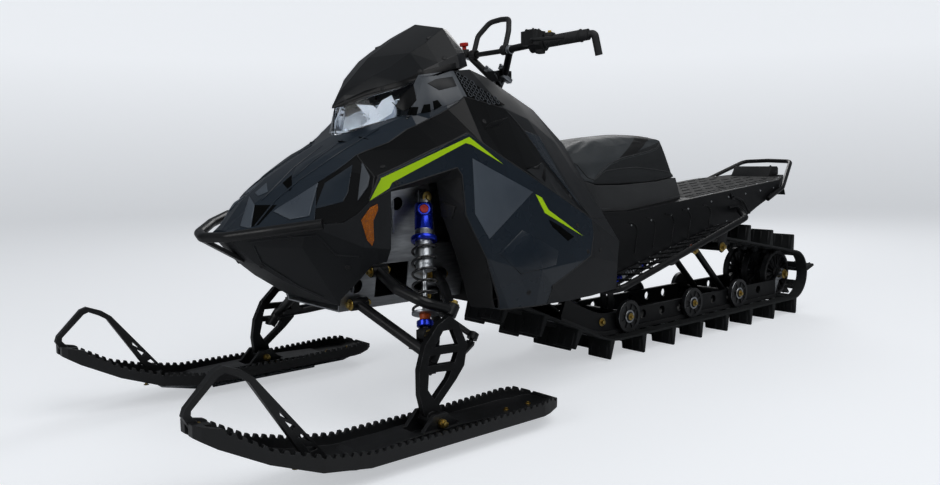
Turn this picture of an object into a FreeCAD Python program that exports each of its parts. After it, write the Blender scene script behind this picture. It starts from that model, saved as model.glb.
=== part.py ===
import FreeCAD, Part
import math
import os

from FreeCAD import Vector

os.makedirs("parts", exist_ok=True)

# Snowmobile: +X runs forward, +Y to the rider's left, +Z up, millimetres.
# The origin is on the ground under the middle of the whole machine.

# Main sizes
ski_stance = 914.0           # between the two ski centre lines
ski_bolt_x = 889.0           # the skis hang on their bolts here
ski_bolt_z = 76.0
ski_width = 178.0
ski_tail_reach = 395.0       # ski bolt to the tail
ski_toe_reach = 610.0        # ski bolt to the foremost point of the toe
ski_floor = 9.0
ski_rim_wall = 9.0

# Track
track_width = 381.0
belt_thickness = 8.0
lug_height = 66.0
lug_width = 16.0
lug_pitch_count = 46
rear_wheel_radius = 100.0
rear_axle_x = -1331.0
driver_radius = 85.0
driver_x = 350.0
driver_z = 358.0
carrier_radius = 67.0
carrier_x = -560.0
carrier_z = 349.0
rail_bend_radius = 300.0
rail_bend_x = -165.0

# Skid frame
rail_spacing = 242.0         # between the two rail centre planes
rail_thickness = 12.0
rail_height = 62.0
slider_height = 16.0
slider_flange = 5.0

# Tunnel and running boards
tunnel_side_gap = 15.5       # each side, between the track and the tunnel's outer face
tunnel_wall = 3.0
tunnel_front_x = 530.3
tunnel_kink_x = -200.0       # the top bends here, under the seat
tunnel_rear_x = -1340.0
tunnel_taper_x = -1150.0     # behind here the sides lean inwards
tunnel_rear_half = 120.0
tunnel_top_rear_z = 611.0
tunnel_top_kink_z = 516.0
tunnel_top_front_z = 536.0
board_width = 132.0
board_tube_radius = 11.0
cargo_bore_radius = 13.0     # bores for luggage anchors in the tunnel top
cargo_bore_x = (-860.0, -1180.0)
cargo_bore_y = 120.0

# Body shell
panel_thickness = 4.0
seam = 0.8
well_wall = 4.0

# Steering
post_x = 228.0
post_z = 958.0
post_lean = 30.0             # degrees, the top leans to the rear
bar_radius = 11.0
grip_radius = 16.5
bar_half_width = 372.0
bar_grip_z = 1060.0

# Front suspension
arm_tube_radius = 14.0
upper_ball_x = 770.0
upper_ball_y = 396.0
upper_ball_z = 322.0
lower_ball_x = 846.0
lower_ball_y = 410.0
lower_ball_z = 214.0

ski_y = ski_stance / 2.0
tunnel_half_width = track_width / 2.0 + tunnel_side_gap
front = Vector(1, 0, 0)
left = Vector(0, 1, 0)
up = Vector(0, 0, 1)
shock_top = Vector(722, 222, 606)
shock_bottom = Vector(822, 352, 262)
eye_half = 14.0
eye_radius = 15.0
eye_pin = 8.0


def save(name, shape):
    shape.exportStep("parts/" + name + ".step")


def solid_of(shape):
    if shape.ShapeType == "Solid":
        return shape
    solids = shape.Solids
    if len(solids) == 1:
        return solids[0]
    return Part.makeCompound(solids)


def fuse(pieces):
    whole = pieces[0]
    if len(pieces) > 1:
        whole = pieces[0].multiFuse(pieces[1:])
    return solid_of(whole.removeSplitter())


def largest(shape):
    # the biggest solid, without what a cut leaves over
    return sorted(shape.Solids, key=lambda solid: solid.Volume)[-1]


def together(shapes):
    # several solids that don't touch, in one piece
    return Part.makeCompound([solid for shape in shapes for solid in shape.Solids])


def both_sides(shape):
    # the piece and its twin on the other side, as two separate solids
    twin = mirrored(shape)
    return Part.makeCompound([*shape.Solids, *twin.Solids])


def mirrored(shape):
    return shape.mirror(Vector(0, 0, 0), left)


def prism_xz(points, y_low, y_high):
    # a flat outline in the XZ plane, drawn out along Y
    corners = [Vector(x, y_low, z) for x, z in points]
    wire = Part.makePolygon([*corners, corners[0]])
    return Part.Face(wire).extrude(Vector(0, y_high - y_low, 0))


def prism_xy(points, z_low, z_high):
    corners = [Vector(x, y, z_low) for x, y in points]
    wire = Part.makePolygon([*corners, corners[0]])
    return Part.Face(wire).extrude(Vector(0, 0, z_high - z_low))


def prism_yz(points, x_low, x_high):
    corners = [Vector(x_low, y, z) for y, z in points]
    wire = Part.makePolygon([*corners, corners[0]])
    return Part.Face(wire).extrude(Vector(x_high - x_low, 0, 0))


def rod(start, end, radius):
    way = end.sub(start)
    return Part.makeCylinder(radius, way.Length, start, way)


def block(x_low, x_high, y_low, y_high, z_low, z_high):
    return Part.makeBox(x_high - x_low, y_high - y_low, z_high - z_low, Vector(x_low, y_low, z_low))


def bent_wire(points, bend):
    # straight runs joined by tangent arcs of one bend radius
    edges = []
    here = points[0]
    for i in range(1, len(points) - 1):
        back = points[i - 1].sub(points[i])
        on = points[i + 1].sub(points[i])
        turn = math.pi - back.getAngle(on)
        if turn < 0.02:
            continue
        reach = min(bend * math.tan(turn / 2.0), 0.45 * back.Length, 0.45 * on.Length)
        radius = reach / math.tan(turn / 2.0)
        back.normalize()
        on.normalize()
        first = points[i].add(back * reach)
        last = points[i].add(on * reach)
        middle_way = back.add(on)
        middle_way.normalize()
        centre_reach = radius / math.cos(turn / 2.0)
        middle = points[i].add(middle_way * (centre_reach - radius))
        edges.append(Part.LineSegment(here, first).toShape())
        edges.append(Part.Arc(first, middle, last).toShape())
        here = last
    edges.append(Part.LineSegment(here, points[-1]).toShape())
    return Part.Wire(edges)


def tube(points, radius, bend):
    # a round bar along a bent path
    path = bent_wire(points, bend)
    way = points[1].sub(points[0])
    ring = Part.Wire(Part.makeCircle(radius, points[0], way))
    return path.makePipeShell([ring], True, False)


def bar_between(start, end, width, depth, side):
    # a straight bar of width by depth, its depth lying along the given side
    way = end.sub(start)
    length = way.Length
    way.normalize()
    across = way.cross(side)
    across.normalize()
    flat = across.cross(way)
    corner = start.sub(across * (width / 2.0)).sub(flat * (depth / 2.0))
    corners = [corner]
    corners.append(corner.add(across * width))
    corners.append(corner.add(across * width).add(flat * depth))
    corners.append(corner.add(flat * depth))
    wire = Part.makePolygon([*corners, corners[0]])
    return Part.Face(wire).extrude(way * length)


def grid_solid(rings):
    # a closed solid through rings of points, with flat triangles between them and flat ends;
    # the second half of each ring is split the other way, so both sides are alike
    faces = []
    count = len(rings[0])
    for near, far in zip(rings, rings[1:]):
        for i in range(count):
            j = (i + 1) % count
            halves = ((near[i], near[j], far[i]), (near[j], far[j], far[i]))
            if 2 * i >= count:
                halves = ((near[i], near[j], far[j]), (near[i], far[j], far[i]))
            for trio in halves:
                sides = (trio[0].sub(trio[1]).Length, trio[1].sub(trio[2]).Length, trio[2].sub(trio[0]).Length)
                if min(sides) > 0.01:
                    faces.append(Part.Face(Part.makePolygon([*trio, trio[0]])))
    for ring in (rings[0], rings[-1]):
        faces.append(Part.Face(Part.makePolygon([*ring, ring[0]])))
    shell = Part.makeShell(faces)
    return Part.makeSolid(shell)


def offset_ring(ring, distance):
    # a closed outline (y, z pairs, anticlockwise) moved inwards by one distance
    moved = []
    count = len(ring)
    for i in range(count):
        before = ring[i - 1]
        here = ring[i]
        after = ring[(i + 1) % count]
        first = (here[0] - before[0], here[1] - before[1])
        second = (after[0] - here[0], after[1] - here[1])
        first_length = math.hypot(*first)
        second_length = math.hypot(*second)
        normal_a = (-first[1] / first_length, first[0] / first_length)
        normal_b = (-second[1] / second_length, second[0] / second_length)
        share = 1.0 + normal_a[0] * normal_b[0] + normal_a[1] * normal_b[1]
        moved.append((here[0] + distance * (normal_a[0] + normal_b[0]) / share,
                      here[1] + distance * (normal_a[1] + normal_b[1]) / share))
    return moved


# Track: one belt over the drivers, the carrier wheels, the rear wheels and the rail bends

rail_base_z = lug_height + belt_thickness
rear_axle_z = rail_base_z + rear_wheel_radius
belt_turns = [
    (rear_axle_x, rear_axle_z, rear_wheel_radius),
    (carrier_x, carrier_z, carrier_radius),
    (driver_x, driver_z, driver_radius),
    (rail_bend_x, rail_base_z + rail_bend_radius, rail_bend_radius),
]


def belt_runs(extra):
    # straight runs and arcs of the loop round all turns, at a distance outside the wheels
    turns = [(x, z, r + extra) for x, z, r in belt_turns]
    tangents = []
    for i, (x0, z0, r0) in enumerate(turns):
        x1, z1, r1 = turns[(i + 1) % len(turns)]
        way = math.atan2(z1 - z0, x1 - x0)
        lean = math.asin((r0 - r1) / math.hypot(x1 - x0, z1 - z0))
        # the loop runs clockwise seen from the left, so the belt is on the left of each run
        normal = way + math.pi / 2.0 - lean
        start = (x0 + r0 * math.cos(normal), z0 + r0 * math.sin(normal))
        end = (x1 + r1 * math.cos(normal), z1 + r1 * math.sin(normal))
        tangents.append((start, end, normal))
    return turns, tangents


def belt_wire(extra, y):
    turns, tangents = belt_runs(extra)
    edges = []
    for i, (start, end, normal) in enumerate(tangents):
        edges.append(Part.makeLine(Vector(start[0], y, start[1]), Vector(end[0], y, end[1])))
        x, z, r = turns[(i + 1) % len(turns)]
        next_start, _, next_normal = tangents[(i + 1) % len(tangents)]
        sweep = (normal - next_normal) % (2.0 * math.pi)
        middle = normal - sweep / 2.0
        edges.append(Part.Arc(Vector(end[0], y, end[1]),
                              Vector(x + r * math.cos(middle), y, z + r * math.sin(middle)),
                              Vector(next_start[0], y, next_start[1])).toShape())
    return Part.Wire(edges)


def belt_places(extra, count):
    # evenly spaced places along the loop, each with its outward direction
    wire = belt_wire(extra, 0.0)
    pitch = wire.Length / count
    places = []
    walked = 0.0
    target = pitch / 2.0
    for edge in wire.OrderedEdges:
        while target <= walked + edge.Length and len(places) < count:
            parameter = edge.getParameterByLength(target - walked)
            point = edge.valueAt(parameter)
            along = edge.tangentAt(parameter)
            outward = Vector(-along.z, 0, along.x)
            places.append((point, along, outward))
            target += pitch
        walked += edge.Length
    return places, pitch


def make_track():
    half = track_width / 2.0
    outer = Part.Face(belt_wire(belt_thickness, -half)).extrude(Vector(0, track_width, 0))
    inner = Part.Face(belt_wire(0.0, -half - 1.0)).extrude(Vector(0, track_width + 2.0, 0))
    belt = outer.cut(inner)
    places, pitch = belt_places(belt_thickness, lug_pitch_count)
    lugs = []
    for number, (point, along, outward) in enumerate(places):
        # outer and inner paddles take turns from row to row
        spans = [(-half, -half + 105.0), (half - 105.0, half)] if number % 2 == 0 else [(-92.0, 92.0)]
        for y_low, y_high in spans:
            root = point.sub(outward * 2.0)
            a = root.sub(along * (lug_width * 0.8))
            b = root.add(along * (lug_width * 0.8))
            c = point.add(outward * lug_height).add(along * (lug_width * 0.35))
            d = point.add(outward * lug_height).sub(along * (lug_width * 0.35))
            corners = [Vector(p.x, y_low, p.z) for p in (a, b, c, d)]
            face = Part.Face(Part.makePolygon([*corners, corners[0]]))
            lugs.append(face.extrude(Vector(0, y_high - y_low, 0)))
    print("track pitch", round(pitch, 2), "loop", round(pitch * lug_pitch_count, 1))
    return fuse([belt, *lugs])


# Body shell: rings across the machine, from the nose to the knees. Each ring has its lowest
# centre height, five side points from low to high, and its top centre height.

body_rings = [
    (1204, 506, (30, 508), (50, 515), (60, 524), (44, 531), (24, 534), 535),
    (1144, 446, (62, 449), (112, 494), (131, 535), (92, 560), (50, 596), 608),
    (1076, 394, (86, 397), (186, 494), (218, 550), (128, 602), (76, 645), 663),
    (950, 321, (150, 324), (272, 490), (297, 612), (169, 684), (100, 722), 737),
    (914, 312, (168, 315), (284, 485), (302, 664), (170, 707), (100, 740), 755),
    (862, 303, (192, 306), (298, 478), (309, 687), (176, 734), (108, 768), 780),
    (740, 289, (226, 291), (324, 466), (322, 736), (224, 798), (196, 832), 790),
    (700, 287, (246, 289), (336, 458), (326, 756), (232, 815), (206, 930), 930),
    (650, 284, (266, 286), (347, 450), (331, 773), (247, 842), (206, 936), 930),
    (600, 282, (302, 284), (358, 434), (336, 744), (258, 872), (203, 952), 950),
    (527, 281, (350, 288), (372, 408), (342, 702), (254, 868), (195, 960), 962),
    (442, 280, (370, 288), (398, 393), (351, 655), (247, 850), (165, 946), 950),
    (330, 280, (370, 286), (386, 398), (356, 594), (228, 822), (150, 902), 924),
    (191, 280, (360, 286), (372, 404), (360, 517), (206, 752), (110, 858), 878),
    (50, 284, (338, 290), (342, 372), (349, 440), (192, 640), (110, 748), 764),
]


def ring_points(row, inset):
    x, low, *side, high = row
    other = [(-y, z) for y, z in side[::-1]]
    outline = [(0.0, low), *side, (0.0, high), *other]
    if inset > 0.0:
        outline = offset_ring(outline, inset)
    return [Vector(x, y, z) for y, z in outline]


body_outer = grid_solid([ring_points(row, 0.0) for row in body_rings])


def make_body_inner():
    inner_rows = [ring_points(row, panel_thickness) for row in body_rings]
    first = [Vector(p.x - panel_thickness, p.y, p.z) for p in inner_rows[0]]
    last = [Vector(p.x - 60.0, p.y, p.z) for p in inner_rows[-1]]
    return grid_solid([first, *inner_rows[1:], last])


body_inner = make_body_inner()
body_shell = body_outer.cut(body_inner)

# Seam lines seen from the side, each shared by the two panels that meet there
split_line = [(1230, 516), (1130, 538), (1064, 552)]
duct_low = [(1064, 552), (999, 555), (970, 576), (946, 605)]
duct_front = [(1064, 552), (1004, 652)]
duct_top = [(1004, 652), (893, 722)]
duct_rear = [(946, 614), (893, 722)]
black_top = [(893, 722), (816, 754), (763, 788), (675, 829), (618, 862), (600, 878)]
stripe_top = [(946, 614), (914, 668), (650, 776), (527, 706), (190, 521)]
arch_top = [(946, 605), (877, 636), (690, 684), (676, 664)]
navy_front = [(676, 664), (670, 559), (611, 434), (560, 322), (545, 270)]
low_front = [(400, 270), (383, 342), (209, 412), (186, 479), (190, 521)]
knee_front = [(600, 878), (440, 848), (391, 797), (328, 700), (250, 602), (190, 521)]
low_top = [(190, 521), (137, 514), (40, 514)]
nose_rear = [(946, 605), (884, 630), (880, 446), (912, 441), (953, 345), (944, 270)]


def seamed(outline):
    # the outline without repeated corners, moved inwards by half of a seam
    corners = [p for p, q in zip(outline, [*outline[1:], outline[0]]) if p != q]
    area = sum(p[0] * q[1] - q[0] * p[1] for p, q in zip(corners, [*corners[1:], corners[0]]))
    if area < 0:
        corners.reverse()
    return offset_ring(corners, seam / 2.0)


def body_panel(lines, y_low, y_high):
    # the part of the body shell inside an outline seen from the side
    outline = [point for line in lines for point in line]
    return solid_of(body_shell.common(prism_xz(seamed(outline), y_low, y_high)))


belly_y = tunnel_half_width + 9.0
duct_y = 120.0
body_half_width = max(y for row in body_rings for y, _ in row[2:-1])
wide = body_half_width + 20.0

nose_pan = body_panel([split_line, duct_low, nose_rear, [(1240, 270)]], -wide, wide)
hood = body_panel([split_line, duct_front, duct_top, black_top, [(600, 990), (1240, 990)]], -wide, wide)
upper_panel = body_panel([duct_rear, black_top, knee_front, stripe_top[::-1]], duct_y, wide)
side_panel = body_panel([stripe_top, low_front[::-1], navy_front[::-1], arch_top[::-1]], belly_y, wide)
rear_panel = body_panel([low_front, low_top, [(40, 270)]], belly_y, wide)
side_duct = body_panel([duct_low, duct_rear, duct_top[::-1], duct_front[::-1]], duct_y, wide)
console_shell = body_panel([knee_front, low_top, [(40, 990), (600, 990)]], -wide, wide)


def plate(points, faces, shift):
    # a folded sheet: flat faces on named corners, given its thickness by one shift
    deep = [p.add(shift) for p in points]
    made = []
    rims = {}
    for face in faces:
        made.append(Part.Face(Part.makePolygon([*[points[i] for i in face], points[face[0]]])))
        made.append(Part.Face(Part.makePolygon([*[deep[i] for i in face], deep[face[0]]])))
        for i, j in zip(face, (*face[1:], face[0])):
            key = (min(i, j), max(i, j))
            rims[key] = rims.get(key, 0) + 1
    for (i, j), uses in rims.items():
        if uses == 1:
            made.append(Part.Face(Part.makePolygon([points[i], points[j], deep[j], deep[i], points[i]])))
    solid = Part.makeSolid(Part.makeShell(made))
    if solid.Volume < 0:
        solid.reverse()
    return solid


def slanted(points, y_at, slope, z_base, thickness):
    # a flat plate seen from the side whose height makes it lean outwards
    corners = [Vector(x, y_at + (z - z_base) * slope, z) for x, z in points]
    wire = Part.makePolygon([*corners, corners[0]])
    return Part.Face(wire).extrude(Vector(0, thickness, 0))


def tunnel_top(x):
    # two flat runs that meet at the bend
    end_x, end_z = (tunnel_rear_x, tunnel_top_rear_z) if x < tunnel_kink_x else (tunnel_front_x, tunnel_top_front_z)
    share = (x - tunnel_kink_x) / (end_x - tunnel_kink_x)
    return tunnel_top_kink_z + share * (end_z - tunnel_top_kink_z)


def tunnel_pad(x, y, half_length, half_width, height):
    # a foot that sits on the sloping tunnel top
    near = tunnel_top(x + half_length) + 0.3
    far = tunnel_top(x - half_length) + 0.3
    outline = [(x + half_length, near), (x - half_length, far), (x - half_length, far + height),
               (x + half_length, near + height)]
    return prism_xz(outline, y - half_width, y + half_width)


# Wheel wells: dark liners behind the front suspension

well_points = [
    Vector(944, 312, 612), Vector(877, 322, 644), Vector(688, 346, 694), Vector(666, 346, 666),
    Vector(661, 350, 561), Vector(602, 372, 437), Vector(551, 384, 324), Vector(537, 384, 292),
    Vector(930, 246, 590), Vector(872, 250, 622), Vector(706, 262, 646), Vector(690, 262, 560),
    Vector(640, 262, 434), Vector(604, 262, 322), Vector(590, 262, 290),
]
well_faces = [(0, 1, 8), (1, 9, 8), (1, 2, 9), (2, 10, 9), (2, 3, 10), (3, 4, 10), (4, 11, 10),
              (4, 5, 11), (5, 12, 11), (5, 6, 12), (6, 13, 12), (6, 7, 13), (7, 14, 13)]


def make_well():
    shelf = plate(well_points, well_faces, Vector(-well_wall * 0.4, -well_wall, well_wall * 0.4))
    return both_sides(largest(shelf.common(body_inner).cut(nose_pan)))


# Bulkhead of aluminium sheet, with the towers for the front shocks

bulkhead_low_y = 135.0
bulkhead_low_z = 306.0
bulkhead_lean = 0.2
bulkhead_sheet = 4.0
tunnel_face = tunnel_front_x


def bulkhead_y(z):
    return bulkhead_low_y + (z - bulkhead_low_z) * bulkhead_lean


def make_bulkhead():
    side = [(948, 306), (952, 346), (912, 436), (884, 452), (838, 640), (694, 652), (640, 470),
            (tunnel_face, 470), (tunnel_face, 306)]
    sheet = slanted(side, bulkhead_low_y, bulkhead_lean, bulkhead_low_z, bulkhead_sheet)
    for x, z, r in ((900, 372, 20), (842, 500, 26), (790, 590, 18), (688, 350, 18)):
        sheet = sheet.cut(rod(Vector(x, 100, z), Vector(x, 260, z), r))
    # the tie rod passes through this window
    sheet = sheet.cut(block(732, 838, 100, 260, 334, 426))
    sheets = [sheet, mirrored(sheet)]
    low = bulkhead_low_y + 0.5
    floor = block(tunnel_face, 948, -low, low, bulkhead_low_z, bulkhead_low_z + bulkhead_sheet)
    top_z = 600.0
    reach = bulkhead_y(top_z) + 1.0
    cross = block(800, 806, -reach, reach, top_z - 90, top_z)
    cross = cross.cut(block(799, 807, -reach + 30, reach - 30, top_z - 72, top_z - 18))
    reach = bulkhead_y(436) + 1.0
    nose = [(-low, bulkhead_low_z), (low, bulkhead_low_z), (reach, 436), (-reach, 436)]
    front_wall = prism_yz(nose, 904, 908)
    front_wall = front_wall.cut(block(903, 909, -90, 90, 330, 410))
    pins = [rod(Vector(shock_top.x, side * (bulkhead_y(shock_top.z) + 1.0), shock_top.z),
                Vector(shock_top.x, side * (shock_top.y + eye_half + 8.0), shock_top.z), eye_pin) for side in (-1, 1)]
    seats = [block(x, x + 25, -bulkhead_y(466) - 1.0, bulkhead_y(466) + 1.0, 459.7, 469.7) for x in (600, 750)]
    return fuse([*sheets, *seats, floor, cross, front_wall, *pins])


def make_engine():
    return block(565, 790, -140, 140, 470, 655)


# Tunnel, boards and rear end

def make_tunnel():
    front_x = tunnel_front_x - 0.3
    side = [(front_x, tunnel_top(front_x)), (tunnel_kink_x, tunnel_top_kink_z), (tunnel_rear_x, tunnel_top_rear_z),
            (tunnel_rear_x, 592), (-1175, 560), (-985, 490), (-857, 437), (-587, 394), (-214, 317),
            (40, 288), (front_x, 288)]
    plan = [(tunnel_rear_x, -tunnel_rear_half), (tunnel_taper_x, -tunnel_half_width), (front_x, -tunnel_half_width),
            (front_x, tunnel_half_width), (tunnel_taper_x, tunnel_half_width), (tunnel_rear_x, tunnel_rear_half)]
    outer = prism_xz(side, -tunnel_half_width, tunnel_half_width).common(prism_xy(plan, 200, 700))
    inner = [(front_x, tunnel_top(front_x) - tunnel_wall), (tunnel_kink_x, tunnel_top_kink_z - tunnel_wall),
             (tunnel_rear_x - 1, tunnel_top_rear_z - tunnel_wall), (tunnel_rear_x - 1, 200), (front_x, 200)]
    hollow_plan = offset_ring(plan, tunnel_wall)
    for i in (0, -1):
        hollow_plan[i] = (tunnel_rear_x - 1, hollow_plan[i][1])
    hollow = prism_xz(inner, -tunnel_half_width, tunnel_half_width).common(prism_xy(hollow_plan, 200, 700))
    channel = outer.cut(hollow)
    slope = (tunnel_top_rear_z - tunnel_top_kink_z) / (tunnel_kink_x - tunnel_rear_x)
    normal = Vector(slope, 0, 1)
    normal.normalize()
    for x in cargo_bore_x:
        for side in (-1, 1):
            place = Vector(x, side * cargo_bore_y, tunnel_top(x))
            channel = channel.cut(rod(place.sub(normal * 20.0), place.add(normal * 20.0), cargo_bore_radius))
    return solid_of(channel)


board_front = Vector(40, 0, 280)
board_rear = Vector(-690, 0, 470)
board_rungs = 13


def make_running_boards():
    half = tunnel_half_width
    outer_y = half + board_width
    path = [Vector(52, half + 12, 276), Vector(52, outer_y, 278), Vector(board_rear.x, outer_y, board_rear.z),
            Vector(board_rear.x - 150, half + board_tube_radius + 0.5, board_rear.z + 14)]
    pieces = [tube(path, board_tube_radius, 60.0)]
    for number in range(board_rungs):
        share = (number + 0.7) / board_rungs
        x = board_front.x + share * (board_rear.x - board_front.x)
        z = board_front.z + share * (board_rear.z - board_front.z)
        low = max(z - 30.0 * share - 8.0, 0.0)
        start = Vector(x, half + 1.2, low)
        end = Vector(x, outer_y, z)
        pieces.append(bar_between(start, end, 16.0, 5.0, up))
    mid_y = half + board_width * 0.5
    pieces.append(bar_between(Vector(board_front.x - 30, mid_y, board_front.z - 3),
                              Vector(board_rear.x + 10, mid_y, board_rear.z - 18), 14.0, 5.0, up))
    strip = [Vector(board_front.x - 8, half + 4, 275), Vector(board_rear.x, half + 4, board_rear.z - 38)]
    pieces.append(bar_between(strip[0], strip[1], 8.0, 5.0, up))
    return both_sides(fuse(pieces))


def make_rear_bumper():
    half = tunnel_half_width
    path = [Vector(-1050, half + 9.5, 520), Vector(-1165, half + 9.5, 564), Vector(-1406, 116, 668),
            Vector(-1414, 0, 672)]
    twin = [Vector(p.x, -p.y, p.z) for p in path[-2::-1]]
    return tube([*path, *twin], 9.0, 40.0)


def make_tail():
    # the lamp's housing stands on the end of the tunnel's top
    rear_x = tunnel_rear_x - 5.0
    outline = [(-1262, tunnel_top(-1262) + 0.3), (rear_x, tunnel_top(rear_x) + 0.3), (rear_x, 640), (rear_x + 9, 648),
               (-1292, 648)]
    return prism_xz(outline, -92, 92)


def make_tail_lens():
    rear_x = tunnel_rear_x - 5.3
    return block(rear_x - 6, rear_x, -70, 70, 617, 640)


def seat_ring(x, base, base_y, waist, waist_y, top, top_y):
    half = [(0.0, base), (base_y, base), (waist_y, waist), (top_y, top - 10.0), (top_y * 0.6, top), (0.0, top)]
    other = [(-y, z) for y, z in half[-2:0:-1]]
    return [Vector(x, y, z) for y, z in [*half, *other]]


seat_rings = [
    (46, 640, 148, 688, 140, 737, 106),
    (-49, 610, 166, 688, 158, 756, 122),
    (-200, 606, 162, 698, 152, 763, 126),
    (-400, 612, 154, 706, 146, 779, 126),
    (-440, 616, 150, 709, 144, 782, 122),
    (-468, 618, 148, 712, 140, 776, 114),
    (-524, 622, 138, 634, 135, 650, 110),
]


def make_seat():
    return grid_solid([seat_ring(*row) for row in seat_rings])


def make_seat_base():
    rows = []
    for x, top, half_width in ((44, 639.0, 150), (-49, 609.6, 172), (-200, 605.6, 168), (-400, 611.6, 160),
                               (-468, 617.6, 154), (-524, 621.6, 144), (-549, 557.0, 142)):
        low = tunnel_top(x) + 0.4
        half = [(0.0, low), (half_width + 6.0, low), (half_width - 2.0, top), (0.0, top)]
        other = [(-y, z) for y, z in half[-2:0:-1]]
        rows.append([Vector(x, y, z) for y, z in [*half, *other]])
    return grid_solid(rows)


# Skid frame

def bend_side(angle, inside):
    # a point of the rail bend, the angle counted from straight down towards the front
    x = rail_bend_x + (rail_bend_radius - inside) * math.sin(angle)
    z = rail_base_z + rail_bend_radius - (rail_bend_radius - inside) * math.cos(angle)
    return x, z


_, belt_tangents = belt_runs(0.0)
approach = abs(belt_tangents[2][2] + math.pi / 2.0) % math.pi
approach = min(approach, math.pi - approach)
rail_tip_run = 150.0


def rail_band(low, high):
    # a band along the rail between two heights above the belt
    lower = [(rear_axle_x + 50, rail_base_z + low)]
    upper = [(rear_axle_x + 50, rail_base_z + high)]
    for step in range(5):
        angle = approach * step / 4.0
        lower.append(bend_side(angle, low))
        upper.append(bend_side(angle, high))
    for side in (lower, upper):
        x, z = side[-1]
        side.append((x + rail_tip_run * math.cos(approach), z + rail_tip_run * math.sin(approach)))
    return [*lower, *upper[::-1]]


def make_rails():
    low_y = rail_spacing / 2.0 - rail_thickness / 2.0
    rail = prism_xz(rail_band(slider_height, slider_height + rail_height), low_y, low_y + rail_thickness)
    for number in range(9):
        x = rear_axle_x + 190 + number * 112
        rail = rail.cut(rod(Vector(x, low_y - 5, rail_base_z + slider_height + 34),
                            Vector(x, low_y + 30, rail_base_z + slider_height + 34), 17.0))
    return both_sides(solid_of(rail))


def make_sliders():
    low_y = rail_spacing / 2.0 - rail_thickness / 2.0 - slider_flange
    slider = prism_xz(rail_band(0.3, slider_height - 0.3), low_y, low_y + rail_thickness + 2.0 * slider_flange)
    return both_sides(solid_of(slider))


def spoked_wheel(x, z, y, radius, width, hub, spokes):
    start = Vector(x, y - width / 2.0, z)
    rim = Part.makeCylinder(radius, width, start, left).cut(Part.makeCylinder(radius - 13.0, width, start, left))
    middle = Part.makeCylinder(hub, width, start, left)
    pieces = [rim, middle]
    for number in range(spokes):
        angle = 2.0 * math.pi * number / spokes
        way = Vector(math.cos(angle), 0, math.sin(angle))
        inner = Vector(x, y, z).add(way * (hub - 3.0))
        outer = Vector(x, y, z).add(way * (radius - 11.0))
        pieces.append(bar_between(inner, outer, 13.0, width * 0.5, left))
    return fuse(pieces)


wheel_width = 24.0
inner_wheel_y = 93.0
axle_radius = 10.0


def make_rear_wheels():
    wheels = []
    for y in (-inner_wheel_y, 0.0, inner_wheel_y):
        wheel = spoked_wheel(rear_axle_x, rear_axle_z, y, rear_wheel_radius - 0.3, wheel_width, 22.0, 6)
        wheels.append(wheel.cut(rod(Vector(rear_axle_x, -200, rear_axle_z), Vector(rear_axle_x, 200, rear_axle_z),
                                    axle_radius + 0.1)))
    return Part.makeCompound([s for w in wheels for s in w.Solids])


def make_rear_axle():
    reach = rail_spacing / 2.0 + rail_thickness / 2.0
    shaft = rod(Vector(rear_axle_x, -reach - 12, rear_axle_z), Vector(rear_axle_x, reach + 12, rear_axle_z), axle_radius)
    arms = []
    low_y = rail_spacing / 2.0 - rail_thickness / 2.0
    outline = [(rear_axle_x - 24, rear_axle_z - 20), (rear_axle_x + 20, rear_axle_z - 26),
               (rear_axle_x + 49.5, rail_base_z + slider_height), (rear_axle_x + 49.5, rail_base_z + slider_height + rail_height),
               (rear_axle_x + 10, rear_axle_z + 24), (rear_axle_x - 24, rear_axle_z + 20)]
    plate_left = prism_xz(outline, low_y, low_y + rail_thickness)
    for piece in (plate_left, mirrored(plate_left)):
        arms.append(piece)
    return fuse([shaft, *arms])


bogie_radius = 58.0
bogie_width = 18.0
bogie_places = (-250.0, -640.0, -960.0)


def plain_wheel(x, z, y, radius, width):
    start = Vector(x, y - width / 2.0, z)
    wheel = Part.makeCylinder(radius, width, start, left)
    dish = Part.makeCylinder(radius - 12.0, width * 0.3, start, left)
    dish_far = Part.makeCylinder(radius - 12.0, width * 0.3, Vector(x, y + width * 0.2, z), left)
    return wheel.cut(dish).cut(dish_far)


def make_bogies():
    pieces = []
    z = rail_base_z + bogie_radius + 0.3
    outside = rail_spacing / 2.0 + rail_thickness / 2.0 + slider_flange + 1.0 + bogie_width / 2.0
    for x in bogie_places:
        for side in (-1, 1):
            wheel = plain_wheel(x, z, side * outside, bogie_radius, bogie_width)
            stub = rod(Vector(x, side * (rail_spacing / 2.0 + rail_thickness / 2.0 + 0.3), z),
                       Vector(x, side * (outside + bogie_width / 2.0 + 3.0), z), 9.0)
            pieces.append(fuse([wheel, stub]))
    return Part.makeCompound(pieces)


def make_carriers():
    pieces = []
    for side in (-1, 1):
        pieces.append(plain_wheel(carrier_x, carrier_z, side * inner_wheel_y, carrier_radius - 0.3, 22.0))
    shaft = rod(Vector(carrier_x, -tunnel_half_width + tunnel_wall + 0.3, carrier_z),
                Vector(carrier_x, tunnel_half_width - tunnel_wall - 0.3, carrier_z), 11.0)
    return fuse([shaft, *pieces])


driver_teeth = 6


def make_drivers():
    # toothed drivers on the track shaft, two lobes for each pitch of the track
    pieces = []
    points = []
    for number in range(driver_teeth * 4):
        angle = 2.0 * math.pi * number / (driver_teeth * 4)
        radius = driver_radius - (1.0 if number % 4 in (0, 1) else 17.0)
        points.append((driver_x + radius * math.cos(angle), driver_z + radius * math.sin(angle)))
    for y in (-inner_wheel_y, inner_wheel_y):
        pieces.append(prism_xz(points, y - 13, y + 13))
    reach = tunnel_half_width - tunnel_wall - 0.3
    shaft = rod(Vector(driver_x, -reach, driver_z), Vector(driver_x, reach, driver_z), 16.0)
    return fuse([shaft, *pieces])


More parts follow.
